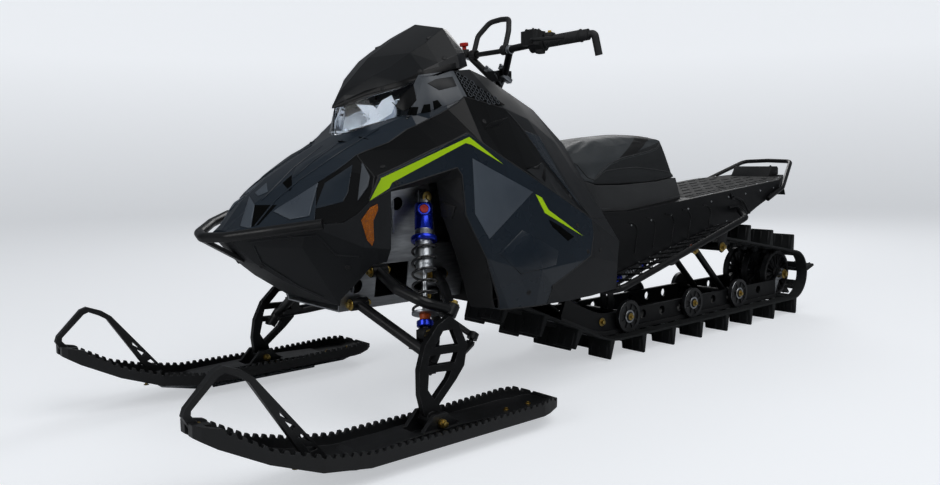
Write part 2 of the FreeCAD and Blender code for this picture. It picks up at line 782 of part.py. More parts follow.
skid_tube_radius = 13.0
rear_pivot = Vector(-734, 0, 348)
rear_foot = Vector(-973, 0, 126)
front_pivot = Vector(140, 0, 302)
front_foot = Vector(-125, 0, 126)


def swing_frame(pivot, foot, pivot_half, foot_half, arm_y, brackets):
    # two side tubes with a cross tube at the pivot and one at the foot
    pieces = [*brackets, rod(Vector(pivot.x, -pivot_half, pivot.z), Vector(pivot.x, pivot_half, pivot.z), skid_tube_radius + 3.0),
              rod(Vector(foot.x, -foot_half, foot.z), Vector(foot.x, foot_half, foot.z), skid_tube_radius + 1.5)]
    for side in (-1, 1):
        pieces.append(rod(Vector(pivot.x, side * arm_y, pivot.z), Vector(foot.x, side * arm_y, foot.z), skid_tube_radius))
    return fuse(pieces)


front_shock_top = Vector(200, 0, 402)
front_shock_low = Vector(-92, 0, 180)
rear_shock_fore = Vector(-300, 0, 226)
rear_shock_aft = Vector(-668, 0, 352)
cross_tube = Vector(-300, 0, 124)


def ears(root, eye):
    # two flat ears that hold a shock's eye
    made = []
    for side in (-1, 1):
        shift = left * (side * (eye_half + 0.3 + 3.0))
        way = eye.sub(root)
        way.normalize()
        made.append(bar_between(root.add(shift), eye.add(way * 14.0).add(shift), 30.0, 6.0, left))
    pin = rod(eye.sub(left * (eye_half + 4.0)), eye.add(left * (eye_half + 4.0)), eye_pin)
    return [*made, pin]


def make_skid_arms():
    rail_inner = rail_spacing / 2.0 - rail_thickness / 2.0 - 0.3
    tunnel_inner = tunnel_half_width - tunnel_wall - 0.3
    rear = swing_frame(rear_pivot, rear_foot, tunnel_inner, rail_inner, 70.0, ears(rear_pivot, rear_shock_aft))
    fore = swing_frame(front_pivot, front_foot, tunnel_inner, rail_inner, 84.0, ears(front_foot, front_shock_low))
    cross = fuse([rod(cross_tube.sub(left * rail_inner), cross_tube.add(left * rail_inner), 12.0),
                  *ears(cross_tube, rear_shock_fore)])
    top_pin = rod(front_shock_top.sub(left * tunnel_inner), front_shock_top.add(left * tunnel_inner), eye_pin)
    return Part.makeCompound([*rear.Solids, *fore.Solids, *cross.Solids, top_pin])


def shock(top, bottom, body_radius, body_share, perches):
    # a gas shock: thick body above, bright shaft below, an eye at each end
    way = bottom.sub(top)
    length = way.Length
    way.normalize()
    waist = top.add(way * (length * body_share))
    pieces = [rod(top.add(way * 26.0), waist, body_radius),
              rod(top, top.add(way * 30.0), 11.0),
              rod(waist.sub(way * 4.0), bottom.sub(way * 6.0), 7.0)]
    for place, thickness, radius in perches:
        pieces.append(rod(top.add(way * place), top.add(way * (place + thickness)), radius))
    for eye in (top, bottom):
        pieces.append(rod(eye.sub(left * eye_half), eye.add(left * eye_half), eye_radius))
    whole = fuse(pieces)
    for eye in (top, bottom):
        whole = whole.cut(rod(eye.sub(left * 30.0), eye.add(left * 30.0), eye_pin + 0.3))
    return solid_of(whole)


def make_skid_shocks():
    front_shock = shock(front_shock_top, front_shock_low, 24.0, 0.62, [])
    rear_shock = shock(rear_shock_fore, rear_shock_aft, 24.0, 0.58, [])
    return Part.makeCompound([*front_shock.Solids, *rear_shock.Solids])


# Front suspension

def make_upper_arms():
    outer = Vector(upper_ball_x, upper_ball_y, upper_ball_z)
    lugs = [(Vector(846, bulkhead_y(412) + 22, 412), [Vector(872, 300, 378), Vector(850, 384, 352)]),
            (Vector(642, bulkhead_y(380) + 22, 380), [Vector(704, 282, 364)])]
    return arm_pair(outer, lugs, [])


def make_lower_arms():
    cradle = [block(shock_bottom.x - 15, shock_bottom.x + 15, shock_bottom.y + low, shock_bottom.y + low + 5.0,
                    shock_bottom.z - 32, shock_bottom.z + 10) for low in (-19.5, 14.5)]
    cradle.append(block(shock_bottom.x - 26, shock_bottom.x + 40, shock_bottom.y - 19.5, shock_bottom.y + 19.5,
                        shock_bottom.z - 36, shock_bottom.z - 24))
    cradle.append(rod(shock_bottom.sub(left * 19.0), shock_bottom.add(left * 19.0), eye_pin))
    outer = Vector(lower_ball_x, lower_ball_y, lower_ball_z)
    # the rear leg dips under the tie rod
    lugs = [(Vector(900, bulkhead_y(326) + 22, 326), []),
            (Vector(640, bulkhead_y(322) + 22, 322), [Vector(690, 228, 264), Vector(780, 335, 232)])]
    return arm_pair(outer, lugs, cradle)


king_low = Vector(lower_ball_x, lower_ball_y, lower_ball_z)
king_high = Vector(upper_ball_x, upper_ball_y, upper_ball_z)
king_way = king_high.sub(king_low)
king_length = king_way.Length
king_way.normalize()
stud_radius = 8.0
ball_housing = 17.0
stud_gap = 0.05


def arm_pair(outer, lugs, brackets):
    pieces = [*brackets, rod(outer.sub(king_way * 15.0), outer.add(king_way * 15.0), ball_housing)]
    for lug, knee in lugs:
        pieces.append(tube([lug, *knee, outer], arm_tube_radius, 40.0))
        pieces.append(rod(lug.sub(front * 24.0), lug.add(front * 24.0), 17.0))
        foot_y = bulkhead_y(lug.z) + bulkhead_sheet + 0.6
        pieces.append(block(lug.x - 22, lug.x + 22, foot_y + 5.0, lug.y, lug.z - 12, lug.z + 12))
    arm = fuse(pieces)
    arm = arm.cut(rod(king_low.sub(king_way * 60.0), king_high.add(king_way * 60.0), stud_radius + stud_gap))
    return both_sides(solid_of(arm))


spring_radius = 31.0
spring_wire = 3.6
spring_turns = 6
spring_start = 0.34
spring_share = 0.5
perch_thickness = 6.0


def make_front_shocks():
    # the spring's ends rest on two collars
    length = shock_bottom.sub(shock_top).Length
    gap = spring_wire + 0.3
    upper = (length * spring_start - gap - perch_thickness, perch_thickness, spring_radius + 4.0)
    lower = (length * (spring_start + spring_share) + gap, perch_thickness, spring_radius + 4.0)
    return both_sides(shock(shock_top, shock_bottom, 23.0, 0.55, [upper, lower]))


def make_front_springs():
    way = shock_bottom.sub(shock_top)
    length = way.Length
    way.normalize()
    start = shock_top.add(way * (length * spring_start))
    height = length * spring_share
    helix = Part.makeHelix(height / spring_turns, height, spring_radius)
    ring = Part.Wire(Part.makeCircle(spring_wire, Vector(spring_radius, 0, 0), Vector(0, 1, 0)))
    coil = Part.Wire(helix).makePipeShell([ring], True, True)
    coil.Placement = FreeCAD.Placement(start, FreeCAD.Rotation(up, way))
    return both_sides(coil)


# Spindles and skis, made for the left side

spindle_thickness = 18.0
spindle_lean = -0.13
foot_radius = 21.0


def make_spindle():
    outline = [(866, 110), (806, 160), (776, 190), (760, 240), (782, 300), (806, 318), (848, 300), (892, 256),
               (916, 200), (922, 140), (914, 92), (880, 60), (858, 82)]
    frame = slanted(outline, ski_y - spindle_thickness / 2.0, spindle_lean, 76.0, spindle_thickness)
    windows = [
        [(880, 124), (832, 164), (818, 184), (888, 190), (896, 150)],
        [(806, 202), (792, 226), (882, 230), (888, 206)],
        [(788, 244), (802, 284), (832, 284), (866, 248)],
    ]
    for window in windows:
        frame = frame.cut(slanted(window, ski_y - spindle_thickness / 2.0 - 2.0, spindle_lean, 76.0,
                                  spindle_thickness + 4.0))
    foot = rod(Vector(ski_bolt_x, ski_y - 26, ski_bolt_z), Vector(ski_bolt_x, ski_y + 26, ski_bolt_z), foot_radius)
    low_boss = rod(king_low.sub(king_way * 42.0), king_low.sub(king_way * 17.0), 15.0)
    low_stud = rod(king_low.sub(king_way * 20.0), king_low.add(king_way * 15.0), stud_radius)
    high_boss = rod(king_high.sub(king_way * 44.0), king_high.sub(king_way * 20.0), 13.0)
    high_stud = rod(king_high.sub(king_way * 22.0), king_high.add(king_way * 15.0), stud_radius)
    low_arm = bar_between(king_low.sub(king_way * 29.0), Vector(868, 436, 192), 22.0, 22.0, front)
    high_arm = bar_between(king_high.sub(king_way * 34.0), Vector(812, 428, 294), 18.0, 18.0, front)
    arm_root = Vector(776, 438, 220)
    arm_end = tie_ball.sub(king_way * 21.0)
    reach = arm_end.sub(arm_root)
    reach.normalize()
    steer_arm = bar_between(arm_root, arm_end.add(reach * 5.0), 22.0, 10.0, king_way)
    tie_pin = rod(tie_ball.sub(king_way * 24.0), tie_ball.add(king_way * 12.0), 6.0)
    spindle = fuse([frame, foot, low_boss, low_stud, high_boss, high_stud, low_arm, high_arm, steer_arm, tie_pin])
    bore = rod(Vector(ski_bolt_x, ski_y - 40, ski_bolt_z), Vector(ski_bolt_x, ski_y + 40, ski_bolt_z), 6.2)
    return spindle.cut(bore)


tie_ball = Vector(703, 400, 246)
tie_inner = Vector(784, 118, 392)
tie_radius = 8.0


def make_tie_rod():
    way = tie_inner.sub(tie_ball)
    way.normalize()
    shaft = rod(tie_ball.add(way * 10.0), tie_inner, tie_radius)
    outer_eye = rod(tie_ball.sub(king_way * 9.0), tie_ball.add(king_way * 9.0), 14.0)
    inner_eye = rod(tie_inner.sub(way * 14.0), tie_inner.add(way * 12.0), 12.0)
    link = fuse([shaft, outer_eye, inner_eye])
    return link.cut(rod(tie_ball.sub(king_way * 40.0), tie_ball.add(king_way * 40.0), 6.0 + stud_gap))


ski_tail_x = ski_bolt_x - ski_tail_reach
ski_toe_x = ski_bolt_x + ski_toe_reach
ski_half = ski_width / 2.0
ski_bottom = [(0.0, 48.0), (60.0, 38.0), (628.0, 38.0), (748.0, 58.0), (858.0, 98.0), (958.0, 150.0), (1000.0, 178.0)]
ski_rim = [(1000.0, 204.0), (948.0, 190.0), (848.0, 130.0), (738.0, 94.0), (628.0, 76.0), (318.0, 72.0), (50.0, 78.0),
           (0.0, 60.0)]
rim_pitch = 20.0             # the rims are serrated
rim_tooth = 8.0


toe_bolt_x = ski_toe_x - 41.0
toe_bolt_z = 181.0


def ski_floor_z(x):
    # height of the ski's upper face, along its bottom line
    reach = x - ski_tail_x
    for (x0, z0), (x1, z1) in zip(ski_bottom, ski_bottom[1:]):
        if x0 <= reach <= x1:
            return z0 + (z1 - z0) * (reach - x0) / (x1 - x0) + ski_floor
    return ski_bottom[-1][1] + ski_floor


def ski_outline(line):
    return [(ski_tail_x + x, z) for x, z in line]


def serrated(line):
    # a line of teeth: each pitch rises to the line and falls back below it
    teeth = [line[0]]
    for (x0, z0), (x1, z1) in zip(line[1:-1], line[2:]):
        count = max(int(math.hypot(x1 - x0, z1 - z0) / rim_pitch), 1)
        for number in range(count):
            for share, drop in ((0.0, 0.0), (0.35, 0.0), (0.5, rim_tooth), (0.85, rim_tooth)):
                along = (number + share) / count
                teeth.append((x0 + (x1 - x0) * along, z0 + (z1 - z0) * along - drop))
    return [*teeth, line[-1]]


def make_ski():
    body = prism_xz(ski_outline([*ski_bottom, *serrated(ski_rim)]), ski_y - ski_half, ski_y + ski_half)
    plan = [(-1, 45), (24, 68), (90, ski_half), (748, ski_half), (988, 42), (1008, 22)]
    both = [*plan, *[(x, -y) for x, y in plan[::-1]]]
    body = body.common(prism_xy([(ski_tail_x + x, ski_y + y) for x, y in both], 0, 260))
    floor_line = [(x, z + ski_floor) for x, z in ski_bottom]
    roof_line = [(1000.0, 400.0), (0.0, 400.0)]
    pocket = ski_outline([*floor_line, *roof_line])
    inset = ski_rim_wall
    plan = [(14, 40), (32, 60), (92, ski_half - inset), (744, ski_half - inset), (973, 34)]
    both = [*plan, *[(x, -y) for x, y in plan[::-1]]]
    hollow = prism_xy([(ski_tail_x + x, ski_y + y) for x, y in both], 0, 500)
    body = body.cut(prism_xz(pocket, ski_y - ski_half, ski_y + ski_half).common(hollow))
    spine = prism_xz([(ski_bolt_x - 230, 42), (ski_bolt_x + 250, 42), (ski_bolt_x + 230, 58), (ski_bolt_x + 60, 63),
                      (ski_bolt_x - 60, 63), (ski_bolt_x - 210, 56)], ski_y - 47, ski_y + 47)
    spine = spine.cut(block(ski_bolt_x - 68, ski_bolt_x + 68, ski_y - 28, ski_y + 28, 46, 120))
    cheeks = []
    for side in (-1, 1):
        low = ski_y + (28 if side > 0 else -40)
        cheeks.append(prism_xz([(ski_bolt_x - 66, 50), (ski_bolt_x + 66, 50), (ski_bolt_x + 20, 98),
                                (ski_bolt_x - 20, 98)], low, low + 12))
    ski = fuse([body, spine, *cheeks])
    half = loop_width / 2.0 + 0.3
    fork = block(toe_bolt_x - 28, ski_toe_x + 20, ski_y - half, ski_y + half, 90, 260)
    ski = ski.cut(fork).cut(rod(Vector(toe_bolt_x, ski_y - 40, toe_bolt_z), Vector(toe_bolt_x, ski_y + 40, toe_bolt_z), 5.2))
    bore = rod(Vector(ski_bolt_x, ski_y - 60, ski_bolt_z), Vector(ski_bolt_x, ski_y + 60, ski_bolt_z), 6.2)
    return solid_of(ski.cut(bore))


def make_ski_bolt():
    shaft = rod(Vector(ski_bolt_x, ski_y - 42, ski_bolt_z), Vector(ski_bolt_x, ski_y + 42, ski_bolt_z), 6.0)
    head = rod(Vector(ski_bolt_x, ski_y + 40.3, ski_bolt_z), Vector(ski_bolt_x, ski_y + 49, ski_bolt_z), 11.0)
    nut = rod(Vector(ski_bolt_x, ski_y - 49, ski_bolt_z), Vector(ski_bolt_x, ski_y - 40.3, ski_bolt_z), 11.0)
    toe = rod(Vector(toe_bolt_x, ski_y - 30, toe_bolt_z), Vector(toe_bolt_x, ski_y + 30, toe_bolt_z), 5.0)
    return Part.makeCompound([*fuse([shaft, head, nut]).Solids, *toe.Solids])


loop_width = 18.0
truss_head = (1363.0, 261.0)     # the truss meets the loop here
truss_root_width = 57.0
truss_bar = 9.0


def make_ski_loop():
    # the toe loop and its truss are one flat moulding on the ski's centre line
    foot = ski_toe_x - 316
    heel = ski_floor_z(foot) + 0.3
    toe = ski_floor_z(foot + truss_root_width) + 0.3
    outer = [(foot, heel), (1352, 270), (1376, 288), (1416, 304), (1434, 298), (1498, 232),
             (1503.5, 216), (1480, 172), (1444, 164)]
    inner = [(1446, 192), (1469, 194), (1487, 217), (1486, 226), (1426, 284), (1413, 289), (1386, 276), truss_head,
             (foot + truss_root_width, toe)]
    ring = prism_xz([*outer, *inner], ski_y - loop_width / 2.0, ski_y + loop_width / 2.0)
    # three-cornered windows between the truss's two bars, in turns towards the one and the other
    back = [(foot + 12.0, heel + truss_bar), (1352 + truss_bar, 262)]
    fore = [(foot + truss_root_width - 14.0, toe + truss_bar), (truss_head[0] - truss_bar, truss_head[1] - 2.0)]
    for number in range(4):
        corners = []
        spans = ((back, 0.0, 0.13), (fore, 0.065, 0.065)) if number % 2 else ((fore, 0.0, 0.13), (back, 0.065, 0.065))
        for (low, high), first, last in spans:
            for share in sorted({0.02 + number * 0.155 + first, 0.02 + number * 0.155 + last}):
                corners.append((low[0] + (high[0] - low[0]) * share, low[1] + (high[1] - low[1]) * share))
        ring = ring.cut(prism_xz(corners, ski_y - loop_width, ski_y + loop_width))
    hole = rod(Vector(toe_bolt_x, ski_y - 40, toe_bolt_z), Vector(toe_bolt_x, ski_y + 40, toe_bolt_z), 5.2)
    return solid_of(ring.cut(hole))


def make_ski_keel():
    keel = prism_xz([(ski_tail_x + 60, 18), (ski_tail_x + 90, 9), (ski_tail_x + 620, 9), (ski_tail_x + 728, 36),
                     (ski_tail_x + 744, 56), (ski_tail_x + 628, 37.7), (ski_tail_x + 62, 37.7)], ski_y - 20, ski_y + 20)
    slopes = [prism_yz([(ski_y + side * 21, 0), (ski_y + side * 9, 0), (ski_y + side * 21, 36)],
                       ski_tail_x, ski_tail_x + 800) for side in (-1, 1)]
    for slope in slopes:
        keel = keel.cut(slope)
    wear = rod(Vector(ski_tail_x + 200, ski_y, 6.0), Vector(ski_tail_x + 560, ski_y, 6.0), 6.0)
    return fuse([keel, wear])


# Steering

post_tilt = math.radians(post_lean)
post_way = Vector(-math.sin(post_tilt), 0, math.cos(post_tilt))
post_head = Vector(post_x, 0, post_z)


def bar_points():
    half = [Vector(post_x + 2, bar_half_width, bar_grip_z),
            Vector(post_x + 58, 200, 1046), Vector(post_x + 50, 100, 1044), Vector(post_x + 14, 34, post_z + 12)]
    other = [Vector(p.x, -p.y, p.z) for p in half[::-1]]
    return [*half, *other]


def make_handlebar():
    points = bar_points()
    bar = tube(points, bar_radius, 34.0)
    brace = rod(Vector(post_x + 49, -98, 1042), Vector(post_x + 49, 98, 1042), 8.0)
    return fuse([bar, brace])


def make_post():
    post = rod(post_head.sub(post_way * 150.0), post_head, 14.0)
    clamp = block(post_x - 20, post_x + 34, -30, 30, post_z - 6, post_z + 28)
    bar = tube(bar_points(), bar_radius + 0.3, 34.0)
    return solid_of(fuse([post, clamp]).cut(bar))


def make_grips():
    points = bar_points()
    inner_end = points[1]
    outer_end = points[0]
    way = outer_end.sub(inner_end)
    way.normalize()
    grip = rod(inner_end.add(way * 52.0), outer_end.add(way * 8.0), grip_radius)
    hook = tube([outer_end.add(way * 4.0), outer_end.add(way * 26.0), outer_end.add(way * 30.0).add(Vector(-14, 0, -62))],
                11.0, 22.0)
    hollow = rod(inner_end, outer_end.add(way * 0.3), bar_radius + 0.1)
    return both_sides(solid_of(fuse([grip, hook]).cut(hollow)))


def make_controls():
    points = bar_points()
    inner_end = points[1]
    way = points[0].sub(inner_end)
    way.normalize()
    body = rod(inner_end.add(way * 2.0), inner_end.add(way * 48.0), 26.0)
    box_centre = inner_end.add(way * 22.0)
    tank = block(box_centre.x - 8, box_centre.x + 44, box_centre.y - 26, box_centre.y + 26, box_centre.z - 8,
                 box_centre.z + 34)
    lever = tube([box_centre.add(Vector(36, 6, 4)), box_centre.add(Vector(62, 40, 2)),
                  box_centre.add(Vector(30, 140, 0))], 5.5, 20.0)
    control = fuse([body, tank, lever])
    bar = tube(points, bar_radius + 0.1, 34.0)
    return both_sides(solid_of(control.cut(bar)))


def make_hand_strap():
    half = [Vector(post_x + 49, -75, 1050.7), Vector(post_x + 32, -74, 1104), Vector(post_x + 4, -46, 1147)]
    other = [Vector(p.x, -p.y, p.z) for p in half[::-1]]
    path = [*half, Vector(post_x - 4, 0, 1152), *other]
    return tube(path, 8.5, 30.0)


def make_post_bearing():
    low = post_head.sub(post_way * 150.0)
    sleeve = rod(low.sub(post_way * 8.0), low.add(post_way * 46.0), 24.0)
    sleeve = sleeve.cut(rod(low.sub(post_way * 2.0), low.add(post_way * 60.0), 14.0 + stud_gap))
    legs = []
    for side in (-1, 1):
        tower = Vector(716, side * (bulkhead_y(640) - 14.5), 640)
        legs.append(rod(low.add(Vector(0, side * 10, 0)), tower, 12.0))
        foot = Vector(120, side * 120, tunnel_top(120) + 12)
        legs.append(rod(low.add(Vector(0, side * 10, 0)), foot, 12.0))
        legs.append(tunnel_pad(foot.x, foot.y, 30.0, 24.0, 16.0))
    frame = fuse([sleeve, *legs])
    return solid_of(frame.cut(rod(low.sub(post_way * 2.0), low.add(post_way * 200.0), 14.0 + stud_gap)))


# Windshield, headlights and bumper

pod_rings = [
    (862, 848, (6, 851), (5, 856), (3, 860), 862),
    (838, 852, (30, 858), (28, 868), (18, 888), 900),
    (804, 860, (72, 874), (70, 888), (48, 918), 934),
    (777, 868, (104, 890), (100, 904), (76, 940), 962),
    (741, 878, (158, 900), (150, 920), (106, 962), 998),
    (690, 890, (202, 928), (192, 950), (130, 1002), 1032),
    (640, 900, (206, 945), (196, 972), (140, 1034), 1064),
    (571, 920, (206, 962), (196, 1000), (130, 1080), 1106),
    (530, 930, (190, 970), (176, 1010), (100, 1082), 1096),
]


def pod_ring(row, inset):
    x, low, a, b, c, high = row
    half = [(0.0, low), a, b, c, (0.0, high)]
    other = [(-y, z) for y, z in (c, b, a)]
    outline = [*half, *other]
    if inset > 0.0:
        outline = offset_ring(outline, inset)
    return [Vector(x, y, z) for y, z in outline]


def make_windshield():
    outer = grid_solid([pod_ring(row, 0.0) for row in pod_rings])
    inner_rows = [pod_ring(row, panel_thickness) for row in pod_rings[1:]]
    last = [Vector(p.x - 60.0, p.y, p.z) for p in inner_rows[-1]]
    inner = grid_solid([*inner_rows, last])
    shell = outer.cut(inner)
    base = [(870, 830), (870, 850), (838, 857), (804, 872), (777, 886), (741, 895), (690, 922), (640, 938), (571, 952),
            (500, 968), (500, 830)]
    return largest(shell.cut(prism_xz(base, -300, 300)).cut(body_outer))


windshield = make_windshield()


def make_headlights():
    low = [Vector(868, 0, 774), Vector(852, 50, 768), Vector(822, 100, 764), Vector(786, 152, 798), Vector(752, 198, 812)]
    high = [Vector(858, 0, 853), Vector(838, 30, 862), Vector(804, 72, 878), Vector(748, 148, 900), Vector(700, 200, 930)]
    faces = [(0, 1, 5), (1, 6, 5), (1, 2, 6), (2, 7, 6), (2, 3, 7), (3, 8, 7), (3, 4, 8), (4, 9, 8)]
    lens = plate([*low, *high], faces, Vector(-5, 0, -2))
    lens = lens.cut(block(700, 1000, -1, 0.4, 700, 1000)).cut(body_outer).cut(hood)
    return both_sides(largest(lens.cut(windshield)))


def make_reflectors():
    pieces = []
    for y in (58.0, 128.0):
        x = 798.0 - (y - 58.0) * 0.62
        z = 816.0 + (y - 58.0) * 0.3
        outer = Part.makeCone(12.0, 28.0, 34.0, Vector(x - 34.0, y, z), front)
        inner = Part.makeCone(8.0, 25.0, 32.0, Vector(x - 32.0, y, z), front)
        pieces.append(largest(outer.cut(inner).cut(body_outer)))
    return both_sides(Part.makeCompound([s for p in pieces for s in p.Solids]))


bumper_radius = 13.0


def make_front_bumper():
    half = [Vector(1062, 266, 556), Vector(1150, 184, 541), Vector(1228, 84, 524), Vector(1254, 0, 520)]
    other = [Vector(p.x, -p.y, p.z) for p in half[-2::-1]]
    bow = tube([*half, *other], bumper_radius, 40.0)
    strut = bar_between(Vector(1250, 0, 512), Vector(1150, 0, 452), 10.0, 30.0, left)
    bosses = [rod(Vector(1074, side * 256, 553), Vector(1074, side * 200, 553), 8.0) for side in (-1, 1)]
    return largest(fuse([bow, strut, *bosses]).cut(body_outer))


post_hole = rod(post_head.sub(post_way * 220.0), post_head.add(post_way * 40.0), 34.0)

save("nose_pan", nose_pan)
save("hood", hood)
save("side_panels_upper", both_sides(upper_panel))
save("side_panels", both_sides(side_panel))
save("side_panels_rear", both_sides(rear_panel))
save("console", solid_of(console_shell.cut(post_hole)))
save("side_ducts", both_sides(side_duct))
save("wheel_wells", make_well())
save("windshield", windshield)
save("headlight_lenses", make_headlights())
save("headlight_reflectors", make_reflectors())
save("front_bumper", make_front_bumper())

save("bulkhead", make_bulkhead())
save("engine_block", make_engine())
save("tunnel", make_tunnel())
save("running_boards", make_running_boards())
save("rear_bumper", make_rear_bumper())
save("tail_housing", make_tail())
save("tail_lens", make_tail_lens())
save("seat", make_seat())
save("seat_base", make_seat_base())
save("post_bearing", make_post_bearing())

save("track", make_track())
save("slide_rails", make_rails())
save("sliders", make_sliders())
save("skid_wheels", together([make_rear_wheels(), make_bogies(), make_carriers()]))
save("rear_axle", make_rear_axle())
save("track_drivers", make_drivers())
save("skid_arms", make_skid_arms())

save("front_arms", together([make_upper_arms(), make_lower_arms()]))
save("shocks", together([make_front_shocks(), make_skid_shocks()]))
save("front_springs", make_front_springs())

for side_name, turned in (("left", False), ("right", True)):
    for name, shape in (("spindle", make_spindle()), ("tie_rod", make_tie_rod()), ("ski", make_ski()),
                        ("ski_bolt", make_ski_bolt()), ("ski_loop", make_ski_loop()), ("ski_keel", make_ski_keel())):
        save(name + "_" + side_name, mirrored(shape) if turned else shape)

save("handlebar", make_handlebar())
save("steering_post", make_post())
save("grips", make_grips())
save("bar_controls", make_controls())
save("hand_strap", make_hand_strap())
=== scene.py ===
import bmesh, bpy, math
from mathutils import Matrix, Vector
from mathutils.bvhtree import BVHTree
from mathutils.geometry import tessellate_polygon


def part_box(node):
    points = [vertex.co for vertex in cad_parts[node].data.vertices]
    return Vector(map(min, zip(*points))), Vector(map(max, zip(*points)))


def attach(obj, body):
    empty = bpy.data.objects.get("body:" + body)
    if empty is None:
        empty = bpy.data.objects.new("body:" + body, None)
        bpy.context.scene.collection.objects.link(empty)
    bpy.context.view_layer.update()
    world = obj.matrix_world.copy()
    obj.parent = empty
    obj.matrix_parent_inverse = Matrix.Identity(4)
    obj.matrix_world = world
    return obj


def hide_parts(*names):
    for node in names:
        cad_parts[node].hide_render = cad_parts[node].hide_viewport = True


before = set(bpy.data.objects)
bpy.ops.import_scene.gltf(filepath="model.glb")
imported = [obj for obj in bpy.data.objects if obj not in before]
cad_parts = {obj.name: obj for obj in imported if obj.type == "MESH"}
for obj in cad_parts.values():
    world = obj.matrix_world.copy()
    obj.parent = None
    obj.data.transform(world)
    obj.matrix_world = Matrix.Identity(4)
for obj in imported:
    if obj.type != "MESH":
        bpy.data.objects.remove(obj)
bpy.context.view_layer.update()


# Helpers

def linear(hexColour):
    # sRGB hex to the linear colour that shaders take
    channels = [int(hexColour[i:i + 2], 16) / 255.0 for i in (1, 3, 5)]
    return [c / 12.92 if c <= 0.04045 else ((c + 0.055) / 1.055) ** 2.4 for c in channels] + [1.0]


def addNode(tree, kind, feeds=None, **settings):
    # one node, its settings, and a value or a source for each named input
    node = tree.nodes.new(kind)
    for name, value in settings.items():
        setattr(node, name, value)
    for name, source in (feeds or {}).items():
        if isinstance(source, bpy.types.NodeSocket):
            tree.links.new(source, node.inputs[name])
        else:
            node.inputs[name].default_value = source
    return node


def extrudeFaces(bm, faces, keep=True):
    # pushes faces out of themselves: the new vertices and the new faces
    made = bmesh.ops.extrude_face_region(bm, geom=faces, use_keep_orig=keep)["geom"]
    return [[g for g in made if isinstance(g, kind)] for kind in (bmesh.types.BMVert, bmesh.types.BMFace)]


def bevelEdges(bm, edges, offset, segments=2):
    return bmesh.ops.bevel(bm, geom=edges, offset=offset, segments=segments, affect="EDGES", profile=0.5, material=-1)


def allOf(bm):
    return bm.verts[:] + bm.edges[:] + bm.faces[:]


def addMesh(bm, name, angle=None):
    # a mesh from a bmesh, smooth but for the edges sharper than an angle, and an object that shows it
    mesh = bpy.data.meshes.new(name)
    bm.to_mesh(mesh)
    bm.free()
    mesh.polygons.foreach_set("use_smooth", [True] * len(mesh.polygons))
    if angle:
        mesh.set_sharp_from_angle(angle=math.radians(angle))
    piece = bpy.data.objects.new(name, mesh)
    bpy.context.scene.collection.objects.link(piece)
    return piece


toMetres = 0.001


def finishPiece(bm, name, material, body="chassis", both=False, angle=32):
    # closes a piece drawn in millimetres: mirrored if wanted, outward, in metres, smooth, riding its body
    if both:
        bmesh.ops.mirror(bm, geom=allOf(bm), axis="Y", merge_dist=-1)
    bmesh.ops.recalc_face_normals(bm, faces=bm.faces)
    bmesh.ops.scale(bm, vec=[toMetres] * 3, verts=bm.verts)
    piece = addMesh(bm, name, angle)
    piece.data.materials.append(look[material])
    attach(piece, body)
    return piece


def aim(axis):
    # turns local Z to an axis
    return Vector(axis).to_track_quat("Z", "Y").to_matrix().to_4x4()


def turned(axis, angle):
    return Matrix.Rotation(angle, 4, axis)


def addBox(bm, centre, size, turn=None, edge=0.0, steps=2):
    made = bmesh.ops.create_cube(bm, size=1.0)["verts"]
    bmesh.ops.scale(bm, vec=size, verts=made)
    if edge:
        lines = list({e for v in made for e in v.link_edges})
        made = list(set(bevelEdges(bm, lines, edge, steps)["verts"] + [v for v in made if v.is_valid]))
    if turn is not None:
        bmesh.ops.rotate(bm, cent=(0, 0, 0), matrix=turn.to_3x3(), verts=made)
    bmesh.ops.translate(bm, vec=centre, verts=made)


def addRod(bm, start, end, radius, radiusEnd=None, sides=24, edge=0.0):
    start, end = Vector(start), Vector(end)
    way = end - start
    made = bmesh.ops.create_cone(bm, cap_ends=True, segments=sides, radius1=radius,
                                 radius2=radius if radiusEnd is None else radiusEnd, depth=way.length,
                                 matrix=Matrix.Translation((start + end) / 2.0) @ aim(way))["verts"]
    if edge:
        rims = [f for f in {f for v in made for f in v.link_faces} if len(f.verts) == sides]
        bevelEdges(bm, list({e for f in rims for e in f.edges}), edge)


def addLathe(bm, start, axis, profile, steps=32):
    # a turned shape: profile is (distance along the axis, radius) from one end to the other
    place = Matrix.Translation(Vector(start)) @ aim(axis)
    points = [bm.verts.new(place @ Vector((radius, 0, along))) for along, radius in profile]
    lines = [bm.edges.new(pair) for pair in zip(points, points[1:])]
    before = set(bm.verts) - set(points)
    bmesh.ops.spin(bm, geom=points + lines, cent=Vector(start), axis=Vector(axis).normalized(),
                   angle=2.0 * math.pi, steps=steps, use_merge=True)
    bmesh.ops.remove_doubles(bm, verts=[v for v in bm.verts if v not in before], dist=0.01)


def addTube(bm, points, radius, sides=12):
    # a round bar along a path of points
    points = [Vector(p) for p in points]
    ways = [(b - a).normalized() for a, b in zip(points, points[1:])]
    normals = [ways[0], *[(a + b).normalized() for a, b in zip(ways, ways[1:])], ways[-1]]
    made = bmesh.ops.create_circle(bm, cap_ends=True, segments=sides, radius=radius,
                                   matrix=Matrix.Translation(points[0]) @ aim(normals[0]))["verts"]
    face = next(f for f in made[0].link_faces)
    for i in range(1, len(points)):
        verts, caps = extrudeFaces(bm, [face], False)
        turn = normals[i - 1].rotation_difference(normals[i]).to_matrix()
        bmesh.ops.rotate(bm, cent=points[i - 1], matrix=turn, verts=verts)
        bmesh.ops.translate(bm, vec=points[i] - points[i - 1], verts=verts)
        if i > 1:
            bmesh.ops.delete(bm, geom=[face], context="FACES_ONLY")
        face = caps[0]


